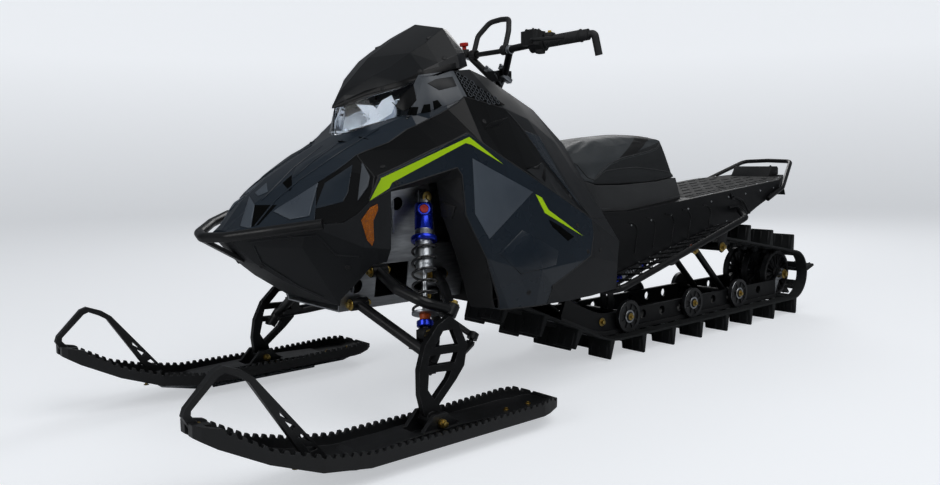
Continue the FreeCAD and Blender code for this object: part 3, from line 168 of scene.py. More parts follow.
def rounded(points, radius, steps=5):
    # a path whose corners are arcs
    points = [Vector(p) for p in points]
    path = [points[0]]
    for a, b, c in zip(points, points[1:], points[2:]):
        reach = min(radius, (a - b).length * 0.45, (c - b).length * 0.45)
        start = b + (a - b).normalized() * reach
        end = b + (c - b).normalized() * reach
        for i in range(steps + 1):
            t = i / steps
            path.append(start * (1 - t) ** 2 + b * 2 * t * (1 - t) + end * t ** 2)
    return path + [points[-1]]


def evenly(line, step):
    # evenly spaced points along a line of points, without its last one
    points = []
    for a, b in zip(line, line[1:]):
        a, b = Vector(a), Vector(b)
        count = max(1, round((b - a).length / step))
        points += [a.lerp(b, i / count) for i in range(count)]
    return points


def addPrism(bm, outline, out, edge=0.0):
    # a flat outline of 3-D points pushed along a vector
    verts, tops = extrudeFaces(bm, [bm.faces.new([bm.verts.new(Vector(p)) for p in outline])], False)
    bmesh.ops.translate(bm, vec=Vector(out), verts=verts)
    if edge:
        bevelEdges(bm, list(tops[0].edges), edge)


def addBolt(bm, place, axis, size, washer=1.7):
    # a flanged hexagon head on its washer
    place, axis = Vector(place), Vector(axis).normalized()
    addRod(bm, place, place + axis * size * 0.16, size * washer * 0.6, sides=20, edge=size * 0.05)
    addRod(bm, place + axis * size * 0.14, place + axis * size * 0.76, size * 0.58, sides=6, edge=size * 0.07)


# how CAD skins are read: welded, made whole where flat, and which faces count as turned to a direction
fit = {"weldMm": 0.02, "patchWeldMm": 0.05, "flatDegrees": 0.6, "turnedShare": 0.15}


def cadCopy(node):
    # a merged copy of a CAD node in the row frame, in millimetres
    bm = bmesh.new()
    bm.from_mesh(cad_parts[node].data)
    bm.transform(Matrix.Scale(1000.0, 4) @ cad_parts[node].matrix_world)
    bmesh.ops.remove_doubles(bm, verts=bm.verts, dist=fit["weldMm"])
    return bm


def cutAway(bm, place, normal):
    # takes away what lies beyond a plane
    bmesh.ops.bisect_plane(bm, geom=allOf(bm), plane_co=place, plane_no=normal, clear_outer=True)


def cutTo(bm, corners, way):
    # keeps what lies inside a convex outline seen along a direction
    centre = sum(corners, Vector()) / len(corners)
    for a, b in zip(corners, corners[1:] + corners[:1]):
        side = (b - a).cross(way)
        if side.length > 1e-6:
            cutAway(bm, a, -side if side.dot(centre - a) > 0 else side)


def skinPatch(node, outline, way, lift, depth, edge=0.0, reach=70.0):
    # a skin cut from a CAD panel's outer faces inside an outline, lifted off it and given a thickness
    outline = [Vector(p) for p in outline]
    way = Vector(way).normalized()
    low = min(p.dot(way) for p in outline) - reach
    skin = bmesh.new()
    for triangle in tessellate_polygon([outline]):
        bm = cadCopy(node)
        inward = [f for f in bm.faces if f.normal.dot(way) < fit["turnedShare"]]
        bmesh.ops.delete(bm, geom=inward, context="FACES")
        cutTo(bm, [outline[i] for i in triangle], way)
        cutAway(bm, way * low, -way)
        gather(skin, bm)
    bmesh.ops.remove_doubles(skin, verts=skin.verts, dist=fit["patchWeldMm"])
    bmesh.ops.dissolve_limit(skin, angle_limit=math.radians(fit["flatDegrees"]), verts=skin.verts, edges=skin.edges)
    skin.normal_update()
    outward = {tuple(round(c, 3) for c in v.co): v.normal.copy() for v in skin.verts}
    raised, tops = map(set, extrudeFaces(skin, skin.faces[:]))
    for v in skin.verts:
        v.co += outward[tuple(round(c, 3) for c in v.co)] * (lift if v in raised else lift - depth)
    if edge:
        bevelEdges(skin, [e for e in skin.edges if sum(f in tops for f in e.link_faces) == 1], edge)
    return skin


def gather(target, *sources):
    # joins bmeshes into the first
    for source in sources:
        part = bpy.data.meshes.new("part")
        source.to_mesh(part)
        source.free()
        target.from_mesh(part)
        bpy.data.meshes.remove(part)
    return target


def coverMask(tree, place):
    # how dark the cushion's cover is: its sides under the V seam, and most of all the slanted band at its rear
    parts = addNode(tree, "ShaderNodeSeparateXYZ", {0: place}).outputs

    def joined(kind, *inputs):
        return addNode(tree, "ShaderNodeMath", dict(enumerate(inputs)), operation=kind).outputs[0]

    def beyond(kind, value, share, axis, other):
        # whether a share of one coordinate plus another one lies past a value
        return joined(kind, joined("MULTIPLY_ADD", parts[axis], share, parts[other]), value)

    band = joined("MULTIPLY", joined("MULTIPLY", beyond("LESS_THAN", 1.2035, 2.0, "Z", "X"),
                                     beyond("GREATER_THAN", 1.131, 2.0, "Z", "X")),
                  beyond("GREATER_THAN", 0.668, 0.16, "X", "Z"))
    sides = joined("MULTIPLY", joined("MULTIPLY", beyond("LESS_THAN", 0.650, 0.233, "X", "Z"),
                                      beyond("LESS_THAN", 0.607, 0.49, "X", "Z")),
                   joined("LESS_THAN", parts["X"], -0.040))
    return joined("MAXIMUM", band, joined("MULTIPLY", sides, 0.72))


def makeMaterial(name, colour, shade, rough, mottleMm, grainMm, reliefMm, edgeMm, stretch=None, cellMm=None,
                 cellKind="DISTANCE_TO_EDGE", cellShape="EUCLIDEAN", worn=None, mask=None, maskColour=None,
                 **shaderValues):
    # one surface: two tones in a slow mottle, roughness in a range, fine relief and worn or rounded edges
    sockets = {"specular": "Specular IOR Level", "coat": "Coat Weight", "coatRough": "Coat Roughness",
               "metal": "Metallic", "sheen": "Sheen Weight", "clear": "Transmission Weight", "ior": "IOR",
               "glow": "Emission Strength", "glowColour": "Emission Color"}
    material = bpy.data.materials.new(name)
    material.use_nodes = True
    tree = material.node_tree
    tree.nodes.clear()

    def mixed(share, first, second):
        return addNode(tree, "ShaderNodeMix", {"Factor": share, 6: first, 7: linear(second)},
                       data_type="RGBA").outputs[2]

    def spreadOver(value, low, high, toLow=0.0, toHigh=1.0):
        return addNode(tree, "ShaderNodeMapRange", {"Value": value, "From Min": low, "From Max": high,
                                                    "To Min": toLow, "To Max": toHigh}).outputs[0]

    place = addNode(tree, "ShaderNodeTexCoord").outputs["Object"]
    if stretch:
        place = addNode(tree, "ShaderNodeVectorMath", {0: place, 1: stretch}, operation="MULTIPLY").outputs[0]
    mottle = addNode(tree, "ShaderNodeTexNoise", {"Vector": place, "Scale": 1000.0 / mottleMm, "Detail": 4.0,
                                                  "Roughness": 0.6}).outputs["Fac"]
    height = grain = addNode(tree, "ShaderNodeTexNoise", {"Vector": place, "Scale": 1000.0 / grainMm,
                                                          "Detail": 3.0}).outputs["Fac"]
    spread = spreadOver(mottle, 0.35, 0.68)
    tone = mixed(spread, linear(colour), shade)
    if mask:
        tone = mixed(mask(tree, place), tone, maskColour)
    if cellMm:
        # pebbled or square cells for moulded grain, mats and covers
        cell = addNode(tree, "ShaderNodeTexVoronoi", {"Vector": place, "Scale": 1000.0 / cellMm}, feature=cellKind,
                       distance=cellShape).outputs["Distance"]
        height = addNode(tree, "ShaderNodeMath", {0: spreadOver(cell, 0.0, 0.22), 1: 0.8, 2: grain},
                         operation="MULTIPLY_ADD").outputs[0]
    edgeNormal = addNode(tree, "ShaderNodeBevel", {"Radius": edgeMm / 1000.0}, samples=4).outputs[0]
    if worn:
        flat = addNode(tree, "ShaderNodeNewGeometry").outputs["Normal"]
        turn = addNode(tree, "ShaderNodeVectorMath", {0: edgeNormal, 1: flat}, operation="DOT_PRODUCT").outputs["Value"]
        patchy = addNode(tree, "ShaderNodeMath", {0: spreadOver(turn, 0.99, 0.86), 1: spread},
                         operation="MULTIPLY").outputs[0]
        tone = mixed(patchy, tone, worn)
    relief = addNode(tree, "ShaderNodeBump", {"Height": height, "Strength": 0.5, "Distance": reliefMm / 1000.0,
                                              "Normal": edgeNormal}).outputs["Normal"]
    shader = addNode(tree, "ShaderNodeBsdfPrincipled", {
        "Base Color": tone, "Roughness": spreadOver(mottle, 0.3, 0.7, *rough), "Normal": relief,
        **{sockets[key]: value for key, value in shaderValues.items()}})
    addNode(tree, "ShaderNodeOutputMaterial", {"Surface": shader.outputs[0]})
    return material


def smoothBelow(degrees):
    # a node group that shades edges flatter than an angle smooth
    tree = bpy.data.node_groups.new("smoothBelow%d" % degrees, "GeometryNodeTree")
    tree.interface.new_socket("Geometry", in_out="INPUT", socket_type="NodeSocketGeometry")
    tree.interface.new_socket("Geometry", in_out="OUTPUT", socket_type="NodeSocketGeometry")
    entry = addNode(tree, "NodeGroupInput").outputs[0]
    angle = addNode(tree, "GeometryNodeInputMeshEdgeAngle").outputs["Unsigned Angle"]
    gentle = addNode(tree, "FunctionNodeCompare", {0: angle, 1: math.radians(degrees)},
                     operation="LESS_THAN").outputs[0]
    faces = addNode(tree, "GeometryNodeSetShadeSmooth", {"Geometry": entry}, domain="FACE").outputs[0]
    edges = addNode(tree, "GeometryNodeSetShadeSmooth", {"Geometry": faces, "Shade Smooth": gentle}, domain="EDGE")
    addNode(tree, "NodeGroupOutput", {0: edges.outputs[0]})
    return tree


def finishNode(node, material, smoothing, roundMm=0.0, roundAbove=20.0):
    # a CAD node's finish: merged, flat areas made whole, edges rounded, shaded smooth below an angle
    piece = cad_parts[node]
    for slot in piece.material_slots:
        slot.material = material
    weld = piece.modifiers.new("weld", "WELD")
    weld.merge_threshold = fit["weldMm"] * toMetres
    if roundMm:
        whole = piece.modifiers.new("whole", "DECIMATE")
        whole.decimate_type = "DISSOLVE"
        whole.angle_limit = math.radians(0.4)
        bevel = piece.modifiers.new("bevel", "BEVEL")
        bevel.limit_method = "ANGLE"
        bevel.angle_limit = math.radians(roundAbove)
        bevel.width = roundMm / 1000.0
        bevel.segments = 2
        bevel.use_clamp_overlap = True
    shade = piece.modifiers.new("shade", "NODES")
    shade.node_group = smoothing


# Materials

# each has: tone, second tone, roughness range, sizes of mottle and grain, depth of relief and rounding of edges
# in millimetres, and what else the surface has
finishes = {
    # gloss moulded panels: the dark navy gives the hood its colour, a clear coat gives the long reflections
    "navyGlossPlastic": ("#16202a", "#1a2530", (0.24, 0.34), 240, 2.2, 0.03, 2.5,
                         dict(specular=0.4, coat=0.12, coatRough=0.08)),
    # near-black gloss of the upper side panels, where the bare graphics area shows the facets
    "blackGlossPlastic": ("#060708", "#08090b", (0.3, 0.4), 200, 2.0, 0.02, 2.0, dict(specular=0.2)),
    # charcoal moulded plastic with a fine pebble, which keeps the pan and knees soft against the gloss
    "charcoalPlastic": ("#17191c", "#1d1f22", (0.42, 0.56), 150, 0.9, 0.06, 2.2, dict(worn="#35383b", specular=0.3)),
    # painted highlight: the navy moulding with a fine metallic flake, painted a step lighter for the large facets that
    # face the light
    "navyFlakePlastic": ("#48505a", "#525b65", (0.26, 0.36), 180, 0.8, 0.02, 2.5, dict(specular=0.45, metal=0.25)),
    # lighter grey of the panel beside the headlights
    "slatePlastic": ("#474c52", "#4e5359", (0.36, 0.5), 160, 1.0, 0.05, 1.5, {}),
    # blow-moulded liner: dull and slightly dusty so that the wells fall back
    "linerPolypropylene": ("#111214", "#191a1c", (0.55, 0.72), 70, 0.8, 0.09, 1.2, dict(cellMm=1.3, worn="#2a2b2d")),
    # dark tinted windshield sheet, polished so that it mirrors the studio
    "smokedPolycarbonate": ("#151719", "#191b1e", (0.32, 0.42), 260, 3.0, 0.012, 1.5, dict(specular=0.3)),
    # lime film laid on the panels, the one bright colour of the machine
    "limeFilm": ("#bdea16", "#b6e212", (0.3, 0.4), 120, 1.2, 0.02, 0.4, dict(specular=0.3, coat=0.1, coatRough=0.12)),
    # clear lamp cover
    "clearPolycarbonate": ("#f2f6fa", "#e9eff5", (0.02, 0.05), 200, 3.0, 0.008, 0.8,
                           dict(clear=1.0, ior=1.2, specular=0.45)),
    # vacuum-metalled lamp bowls
    "chromedReflector": ("#e9edf2", "#dde3ea", (0.05, 0.12), 60, 2.0, 0.02, 0.8, dict(metal=1.0)),
    # white light guides inside the lamp
    "opalAcrylic": ("#eef1f5", "#dfe4ea", (0.18, 0.3), 40, 1.2, 0.03, 0.8,
                    dict(coat=0.6, coatRough=0.05, glow=0.18, glowColour=linear("#eaf2ff"))),
    # satin powder coat on the steel tubes, chipped a little along its edges
    "powderCoatedSteel": ("#0d0e0f", "#131416", (0.3, 0.44), 45, 1.1, 0.05, 1.0, dict(worn="#444648", specular=0.35)),
    # thin coat on the tunnel sheet, duller and a little blue
    "powderCoatedAluminium": ("#0b0c0e", "#101113", (0.4, 0.55), 130, 0.9, 0.045, 1.0,
                              dict(worn="#55575a", specular=0.28)),
    # bare folded sheet of the bulkhead
    "aluminiumSheet": ("#b4b7ba", "#9ea1a5", (0.32, 0.5), 60, 0.7, 0.03, 1.2, dict(stretch=(1.0, 1.0, 9.0), metal=1.0)),
    # dark anodised forging of the spindles
    "anodisedForging": ("#111213", "#191a1c", (0.36, 0.5), 30, 1.0, 0.07, 1.6, dict(worn="#6f7173", metal=0.6)),
    # cast engine block, rough and grey
    "castAluminium": ("#57595b", "#4a4c4e", (0.5, 0.7), 50, 1.4, 0.2, 2.0, dict(metal=0.8)),
    # bright turned bodies and shafts of the shocks
    "machinedAluminium": ("#b4b8bc", "#a3a7ab", (0.3, 0.44), 40, 0.6, 0.015, 0.7,
                          dict(stretch=(1.0, 8.0, 1.0), metal=1.0)),
    # blue anodised shock heads
    "blueAnodised": ("#1434c8", "#0f2bb0", (0.2, 0.3), 35, 0.8, 0.015, 0.8, dict(metal=0.85, coat=0.3, coatRough=0.1)),
    # ground and hardened steel of the shafts, axle and wear bars
    "hardenedSteel": ("#a2a5a8", "#8d9093", (0.2, 0.36), 30, 0.8, 0.02, 0.6, dict(metal=1.0)),
    # zinc-yellow fasteners
    "yellowZinc": ("#b99a4f", "#a3925c", (0.28, 0.42), 8, 0.6, 0.02, 0.5, dict(metal=1.0)),
    # gloss coat on the spring wire
    "springSteel": ("#0d0e10", "#141518", (0.24, 0.34), 40, 1.0, 0.02, 0.5, dict(coat=0.4, coatRough=0.1)),
    # moulded rubber of the track with a dry, scuffed skin
    "trackRubber": ("#1d1f20", "#27292a", (0.62, 0.82), 38, 1.3, 0.18, 1.6,
                    dict(cellMm=2.6, worn="#3f4143", specular=0.3)),
    # pressed steel clips on the belt's windows
    "clipSteel": ("#b7babd", "#8f9295", (0.22, 0.4), 14, 0.7, 0.03, 0.5, dict(metal=1.0)),
    # waxy sheet of the skis
    "skiPolyethylene": ("#0f1011", "#161719", (0.34, 0.52), 80, 1.0, 0.05, 1.8,
                        dict(stretch=(0.3, 1.0, 1.0), worn="#35373a")),
    # slide shoes, graphite grey from use
    "sliderPolyethylene": ("#1b1c1d", "#262728", (0.4, 0.56), 60, 1.0, 0.05, 0.8, dict(stretch=(0.2, 1.0, 1.0))),
    # glass-filled nylon of the wheels
    "nylonWheel": ("#18191b", "#212224", (0.4, 0.56), 30, 0.9, 0.06, 1.0, dict(worn="#3a3b3d")),
    # grained vinyl of the seat's top, lighter than its sides
    "paleVinyl": ("#3d4144", "#464a4d", (0.48, 0.6), 60, 0.5, 0.14, 1.2, dict(cellMm=1.7, sheen=0.15)),
    # darker grained vinyl of the seat's sides
    "darkVinyl": ("#1f2123", "#27292b", (0.48, 0.62), 60, 0.5, 0.14, 1.2, dict(cellMm=1.7, sheen=0.15)),
    # the cushion's vinyl, with its dark band
    "seatVinyl": ("#34383b", "#3c4043", (0.48, 0.62), 60, 0.5, 0.14, 1.2,
                  dict(cellMm=1.7, mask=coverMask, maskColour="#0b0c0d", specular=0.3, sheen=0.04)),
    # waxed thread of the seams
    "stitchThread": ("#4d5154", "#5b5f62", (0.5, 0.65), 4, 0.3, 0.05, 0.3, {}),
    # ribbed soft rubber of grips and strap
    "gripRubber": ("#1b1c1e", "#232426", (0.55, 0.7), 20, 0.7, 0.12, 0.8, dict(cellMm=2.2)),
    # amber side reflector
    "amberAcrylic": ("#b46208", "#7c4004", (0.2, 0.3), 5, 1.0, 0.8, 0.6, dict(cellMm=5.0, specular=0.4)),
    # red rear lens with the optics moulded on its back
    "redAcrylic": ("#7c0a10", "#8f0d14", (0.08, 0.16), 14, 1.0, 0.35, 0.8, dict(cellMm=4.0, coat=0.9, coatRough=0.03)),
    # red rubber cap of the stop switch and small warm marks
    "redSilicone": ("#d32a1e", "#c02318", (0.4, 0.52), 8, 0.5, 0.03, 0.6, {}),
    "yellowSilicone": ("#d8b21e", "#c9a418", (0.4, 0.52), 8, 0.5, 0.03, 0.5, {}),
    # orange bump stops and adjuster marks
    "orangeUrethane": ("#c8571c", "#b54a14", (0.4, 0.55), 12, 0.6, 0.05, 0.8, {}),
    # woven traction mat on the tunnel
    "tractionMat": ("#0d0e0f", "#141517", (0.6, 0.78), 40, 0.9, 0.5, 0.8,
                    dict(cellMm=7.0, cellShape="CHEBYCHEV", cellKind="F1", specular=0.25)),
    # painted shade: pitch-dark mesh-like sheets behind openings and in recesses and slots, where shadow falls
    "shadowMesh": ("#040505", "#070808", (0.6, 0.8), 20, 0.8, 0.2, 0.5, dict(cellMm=4.0, specular=0.05)),
}
look = {name: makeMaterial(name, *values, **more) for name, (*values, more) in finishes.items()}
print("materials", len(look))


# CAD nodes

smooth = {degrees: smoothBelow(degrees) for degrees in (6, 32)}
nodeFinishes = [
    # material, smoothing angle, edge radius in mm, smallest edge angle rounded, and the nodes without their side
    ("charcoalPlastic", 6, 1.6, 8, "nose_pan side_panels_rear console"),
    ("navyGlossPlastic", 6, 1.6, 8, "hood side_panels"),
    ("blackGlossPlastic", 6, 1.2, 8, "side_panels_upper"), ("blackGlossPlastic", 6, 1.0, 8, "side_ducts"),
    ("linerPolypropylene", 6, 1.0, 8, "wheel_wells"), ("smokedPolycarbonate", 6, 1.2, 8, "windshield"),
    ("darkVinyl", 6, 2.0, 8, "seat_base"), ("castAluminium", 32, 3.0, 30, "engine_block"),
    ("linerPolypropylene", 32, 1.2, 20, "tail_housing"), ("redAcrylic", 32, 1.0, 20, "tail_lens"),
    ("clearPolycarbonate", 32, 0, 0, "headlight_lenses"), ("chromedReflector", 32, 0, 0, "headlight_reflectors"),
    ("powderCoatedSteel", 32, 0, 0,
     "front_bumper rear_bumper post_bearing skid_arms front_arms tie_rod handlebar steering_post"),
    ("powderCoatedAluminium", 32, 0, 0, "tunnel running_boards slide_rails"),
    ("aluminiumSheet", 32, 0, 0, "bulkhead"), ("anodisedForging", 32, 0, 0, "spindle"),
    ("machinedAluminium", 32, 0, 0, "shocks"), ("springSteel", 32, 0, 0, "front_springs"),
    ("hardenedSteel", 32, 0, 0, "rear_axle ski_keel"), ("yellowZinc", 32, 0, 0, "ski_bolt"),
    ("nylonWheel", 32, 0, 0, "skid_wheels track_drivers"), ("sliderPolyethylene", 32, 0, 0, "sliders"),
    ("skiPolyethylene", 32, 0, 0, "ski_loop ski"), ("gripRubber", 32, 0, 0, "grips hand_strap"),
    ("linerPolypropylene", 32, 0, 0, "bar_controls"), ("trackRubber", 32, 0, 0, "track"),
    ("paleVinyl", 32, 0, 0, "seat"),
]
nodeFinish = {kind: finish for *finish, kinds in nodeFinishes for kind in kinds.split()}
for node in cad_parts:
    kind = node.rsplit("_", 1)[0] if node.endswith(("_left", "_right")) else node
    material, degrees, radius, above = nodeFinish[kind]
    finishNode(node, look[material], smooth[degrees], radius, above)
print("nodes finished", len(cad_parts))


# Body graphics and trim

cameraPlace = Vector((2095.2, 2039.5, 717.1))


def patchOn(nodes, outline, lift, depth, edge=0.0, way=None, reach=70.0):
    # a patch over one or more CAD panels, cut as it is seen from the photo's side
    outline = [Vector(p) for p in outline]
    way = Vector(way) if way else cameraPlace - sum(outline, Vector()) / len(outline)
    return gather(*[skinPatch(node, outline, way, lift, depth, edge, reach) for node in nodes])


grille = [(592, 204, 950), (573, 207, 944), (424, 231, 860), (474, 251, 855), (588, 253, 878)]
patches = {
    # piece: material, then the panels that patches lie on, their lift, thickness and rounded edge, and the outlines
    "limeStripes": ("limeFilm", (
        "side_panels", (0.8, 1.2),
        [(945, 297, 608), (912, 302, 663), (648, 332, 765), (537, 343, 691), (643, 333, 745), (660, 331, 749),
         (882, 305, 651), (890, 303, 637)],
        [(428, 359, 604), (404, 359, 594), (382, 364, 558), (238, 366, 472), (398, 365, 550)])),
    # painted shade: a pitch-dark patch in the side panel's recess
    "panelRecessShade": ("shadowMesh", (
        "side_panels", (1.0, 1.4, 0.4),
        [(386, 368, 531), (340, 369, 509), (282, 370, 473), (312, 374, 464), (373, 371, 509)])),
    "rearStrips": ("navyGlossPlastic", (
        "console side_panels_upper", (1.0, 1.4, 0.4),
        [(375, 263, 785), (301, 249, 768), (278, 303, 663), (241, 333, 591), (221, 351, 548), (284, 321, 634),
         (338, 296, 705)])),
    "lowerInserts": ("charcoalPlastic", (
        "side_panels_upper", (1.2, 1.6, 0.5),
        [(443, 339, 672), (352, 309, 690), (240, 352, 552), (262, 354, 556), (390, 347, 634)])),
    # painted highlights: lighter navy patches on the side panel's facets that face the light
    "panelPaintedHighlights": ("navyFlakePlastic", (
        "side_panels", (1.2, 1.6, 0.8), [(640, 335, 708), (438, 358, 611), (600, 354, 490), (640, 342, 560)])),
    "panelBulges": ("navyGlossPlastic", (
        "side_panels", (1.6, 2.0, 1.4),
        [(570, 362, 448), (494, 371, 508), (360, 382, 440), (372, 383, 400), (500, 372, 385)])),
    "panelBlades": ("blackGlossPlastic", (
        "side_panels_upper", (1.8, 2.2, 0.7),
        [(568, 300, 788), (533, 287, 806), (443, 262, 823), (492, 283, 800)],
        [(443, 339, 678), (394, 327, 679), (356, 309, 692), (378, 322, 672)],
        [(378, 346, 636), (389, 344, 650), (345, 312, 682), (352, 325, 660)])),
    # painted highlights: lighter navy patches on the hood's facets that face the light
    "hoodPaintedHighlights": ("navyFlakePlastic", (
        "hood", (2.0, 2.6, 0.9), [(1115, 18, 627), (1083, 23, 652), (1099, 60, 630), (1117, 39, 620)]), (
        "hood", (3.0, 3.6, 1.4), [(1177, 55, 545), (1128, 14, 618), (1136, 58, 598), (1164, 88, 542)]), (
        "hood side_ducts", (3.0, 3.6, 1.4), [(1111, 108, 582), (1003, 150, 651), (1062, 202, 571), (1095, 165, 563)])),
    # painted shade: a pitch-dark patch in the hood's side recess
    "hoodRecessShades": ("shadowMesh", (
        "hood", (1.0, 1.5, 0.3), [(1136, 58, 598), (1099, 104, 598), (1149, 99, 550), (1161, 87, 546)])),
    "hoodBlades": ("navyGlossPlastic", (
        "hood", (2.4, 3.0, 1.2), [(1046, 89, 660), (1011, 53, 693), (880, 77, 763), (973, 85, 710)])),
    "ductFins": ("slatePlastic", (
        "side_ducts side_panels side_panels_upper hood", (3.5, 4.0, 1.2),
        [(902, 203, 702), (924, 270, 667), (937, 280, 642), (967, 278, 608), (934, 243, 667)])),
    "ductInserts": ("navyGlossPlastic", (
        "side_ducts", (0.9, 1.3, 0.3),
        [(992, 164, 651), (922, 187, 696), (971, 239, 627), (991, 247, 606), (1043, 199, 589)])),
    # a pitch-dark patch for the hood's mesh vent: dark mesh with painted shade behind it
    "hoodMeshShade": ("shadowMesh", (
        "hood side_ducts", (0.8, 1.2), [(1065, 75, 652), (1036, 72, 672), (1055, 106, 640), (1062, 107, 632)])),
    "sideReflectors": ("amberAcrylic", (
        "nose_pan", (3.0, 3.6, 0.9),
        [(961, 280, 560), (943, 295, 591), (922, 295, 599), (920, 294, 584), (933, 292, 559), (927, 284, 508),
         (930, 280, 493), (944, 278, 509)])),
    "wellPads": ("linerPolypropylene", (
        "wheel_wells", (6.0, 6.5, 1.5), [(693, 270, 593), (678, 309, 580), (675, 289, 546), (690, 262, 555)])),
    "podPanels": ("slatePlastic", (
        "hood console windshield headlight_lenses", (1.4, 2.0, 0.6),
        [(719, 185, 909), (702, 185, 936), (593, 202, 952), (588, 253, 878), (640, 243, 855), (749, 194, 822),
         (738, 196, 848), (722, 202, 867)])),
    "podShades": ("blackGlossPlastic", (
        "headlight_lenses hood", (1.0, 1.6, 0.4),
        [(762, 157, 851), (748, 163, 876), (719, 185, 909), (722, 202, 867), (738, 196, 848), (752, 182, 838)])),
    # painted shade: pitch-dark patches where the pod's three vents lie in shadow
    "podVentShades": ("shadowMesh", (
        "hood headlight_lenses", (2.6, 2.9, 0.3),
        [(749, 194, 825), (727, 207, 827), (721, 208, 848), (738, 196, 848)],
        [(718, 214, 831), (696, 229, 835), (695, 225, 856), (709, 216, 854)],
        [(687, 232, 840), (665, 239, 851), (674, 231, 867), (687, 227, 863)])),
    "podInsets": ("charcoalPlastic", (
        "hood console", (2.2, 2.8, 1.2),
        [(690, 208, 912), (662, 208, 925), (606, 214, 934), (606, 232, 906), (664, 226, 893)])),
    "grilleShade": ("shadowMesh", ("console", (0.8, 1.2), grille)),
}
for name, (material, *parts) in patches.items():
    finishPiece(gather(*[patchOn(panels.split(), outline, *sizes) for panels, sizes, *outlines in parts
                         for outline in outlines]), name, material, both=True)


def rimLoops(node):
    # the outline of a CAD panel's outer skin on the left side, as loops of points
    bm = cadCopy(node)
    bmesh.ops.dissolve_limit(bm, angle_limit=math.radians(0.5), verts=bm.verts, edges=bm.edges)
    hidden = [f for f in bm.faces if f.normal.y < 0.12 or f.calc_center_median().y < 0]
    bmesh.ops.delete(bm, geom=hidden, context="FACES")
    links = {}
    for edge in bm.edges:
        if len(edge.link_faces) == 1:
            a, b = edge.verts
            links.setdefault(a, []).append(b)
            links.setdefault(b, []).append(a)
    loops, left = [], dict.fromkeys(links)          # a dictionary keeps its order, so each run starts alike
    while left:
        loop = [next(iter(left))]
        while loop[-1] is not None:
            left.pop(loop[-1], None)
            loop.append(next((v for v in links[loop[-1]] if v in left), None))
        loops.append([v.co.copy() for v in loop[:-1]])
    bm.free()
    return loops


def makeSeals():
    # black seals round the panels that show as dark outlines
    seals = {"radiusMm": 1.8, "shortestMm": 400.0}
    bm = bmesh.new()
    for node in ("side_panels", "side_panels_upper"):
        for loop in rimLoops(node):
            length = sum((b - a).length for a, b in zip(loop, loop[1:]))
            if length > seals["shortestMm"]:
                addTube(bm, loop + loop[:1], seals["radiusMm"], 8)
    finishPiece(bm, "panelSeals", "gripRubber", both=True)


def skinFinder(node):
    # finds the place and outward direction on a CAD panel under a point
    bm = cadCopy(node)
    tree = BVHTree.FromBMesh(bm)
    bm.free()

    def find(point, way):
        way = Vector(way).normalized()
        place, normal, _, _ = tree.ray_cast(Vector(point) + way * 120.0, -way)
        return place, normal
    return find


def insideOutline(point, outline, way):
    # whether a point falls inside an outline seen along a direction
    turn = aim(way).inverted().to_3x3()
    x, y, _ = turn @ Vector(point)
    flat = [(turn @ Vector(p))[:2] for p in outline]
    inside = False
    for (x0, y0), (x1, y1) in zip(flat, flat[1:] + flat[:1]):
        if (y0 > y) != (y1 > y) and x < (x1 - x0) * (y - y0) / (y1 - y0) + x0:
            inside = not inside
    return inside


def makeHexGrille():
    # a lattice of six-sided rings laid on the console beside the windshield
    cells = {"pitchMm": 13.0, "wallMm": 1.5, "heightMm": 2.6, "rows": 9, "deepestMm": 60.0}
    find = skinFinder("console")
    corners = [Vector(p) for p in grille]
    centre = sum(corners, Vector()) / len(corners)
    way = (cameraPlace - centre).normalized()
    across, rise, _ = aim(way).to_3x3().transposed()
    bm = bmesh.new()
    for row in range(-cells["rows"], cells["rows"] + 1):
        for column in range(-cells["rows"], cells["rows"] + 1):
            shift = across * (column + (row % 2) * 0.5) * cells["pitchMm"] + rise * row * cells["pitchMm"] * 0.866
            point = centre + shift
            if not insideOutline(point, corners, way):
                continue
            place, normal = find(point, way)
            if place is None or (place - point).length > cells["deepestMm"]:
                continue
            ring = bmesh.new()
            bmesh.ops.create_circle(ring, cap_ends=True, segments=6, radius=cells["pitchMm"] * 0.6,
                                    matrix=Matrix.Translation(place) @ aim(normal))
            wall = bmesh.ops.inset_region(ring, faces=ring.faces[:], thickness=cells["wallMm"], use_boundary=True,
                                          use_even_offset=True)["faces"]
            bmesh.ops.delete(ring, geom=[f for f in ring.faces if f not in set(wall)], context="FACES")
            bmesh.ops.translate(ring, vec=normal * cells["heightMm"], verts=extrudeFaces(ring, ring.faces[:])[0])
            gather(bm, ring)
    finishPiece(bm, "hexGrille", "slatePlastic", both=True)


def makeCreases():
    # raised creases of the hood and the nose pan, laid on their skins
    ridges = {"radiusMm": 2.6, "stepMm": 18.0}
    for name, node, material, lines in (
            ("hoodCreases", "hood", "navyGlossPlastic",
             [[(1155, 93, 548), (1098, 98, 610), (1032, 107, 660), (916, 118, 730), (800, 158, 800)],
              [(1119, 64, 611), (1070, 58, 650), (1018, 47, 690), (900, 20, 758)]]),
            ("panCreases", "nose_pan", "charcoalPlastic",
             [[(1169, 91, 508), (1113, 158, 519), (1053, 220, 526), (1000, 223, 471), (935, 260, 463)],
              [(1160, 93, 498), (1134, 79, 453), (1044, 109, 384), (975, 142, 343)]])):
        find = skinFinder(node)
        bm = bmesh.new()
        for line in lines:
            laid = [find(point, cameraPlace - point)[0] for point in evenly(line, ridges["stepMm"])]
            addTube(bm, [place for place in laid if place is not None], ridges["radiusMm"], 8)
        finishPiece(bm, name, material, both=True)


def addStuds(bm, node, points, way, profile, steps):
    # turned heads laid on a CAD panel under points, along a direction or towards the camera
    find = skinFinder(node)
    for point in points:
        place, normal = find(point, way or cameraPlace - Vector(point))
        if place is not None:
            addLathe(bm, place, normal, profile, steps)


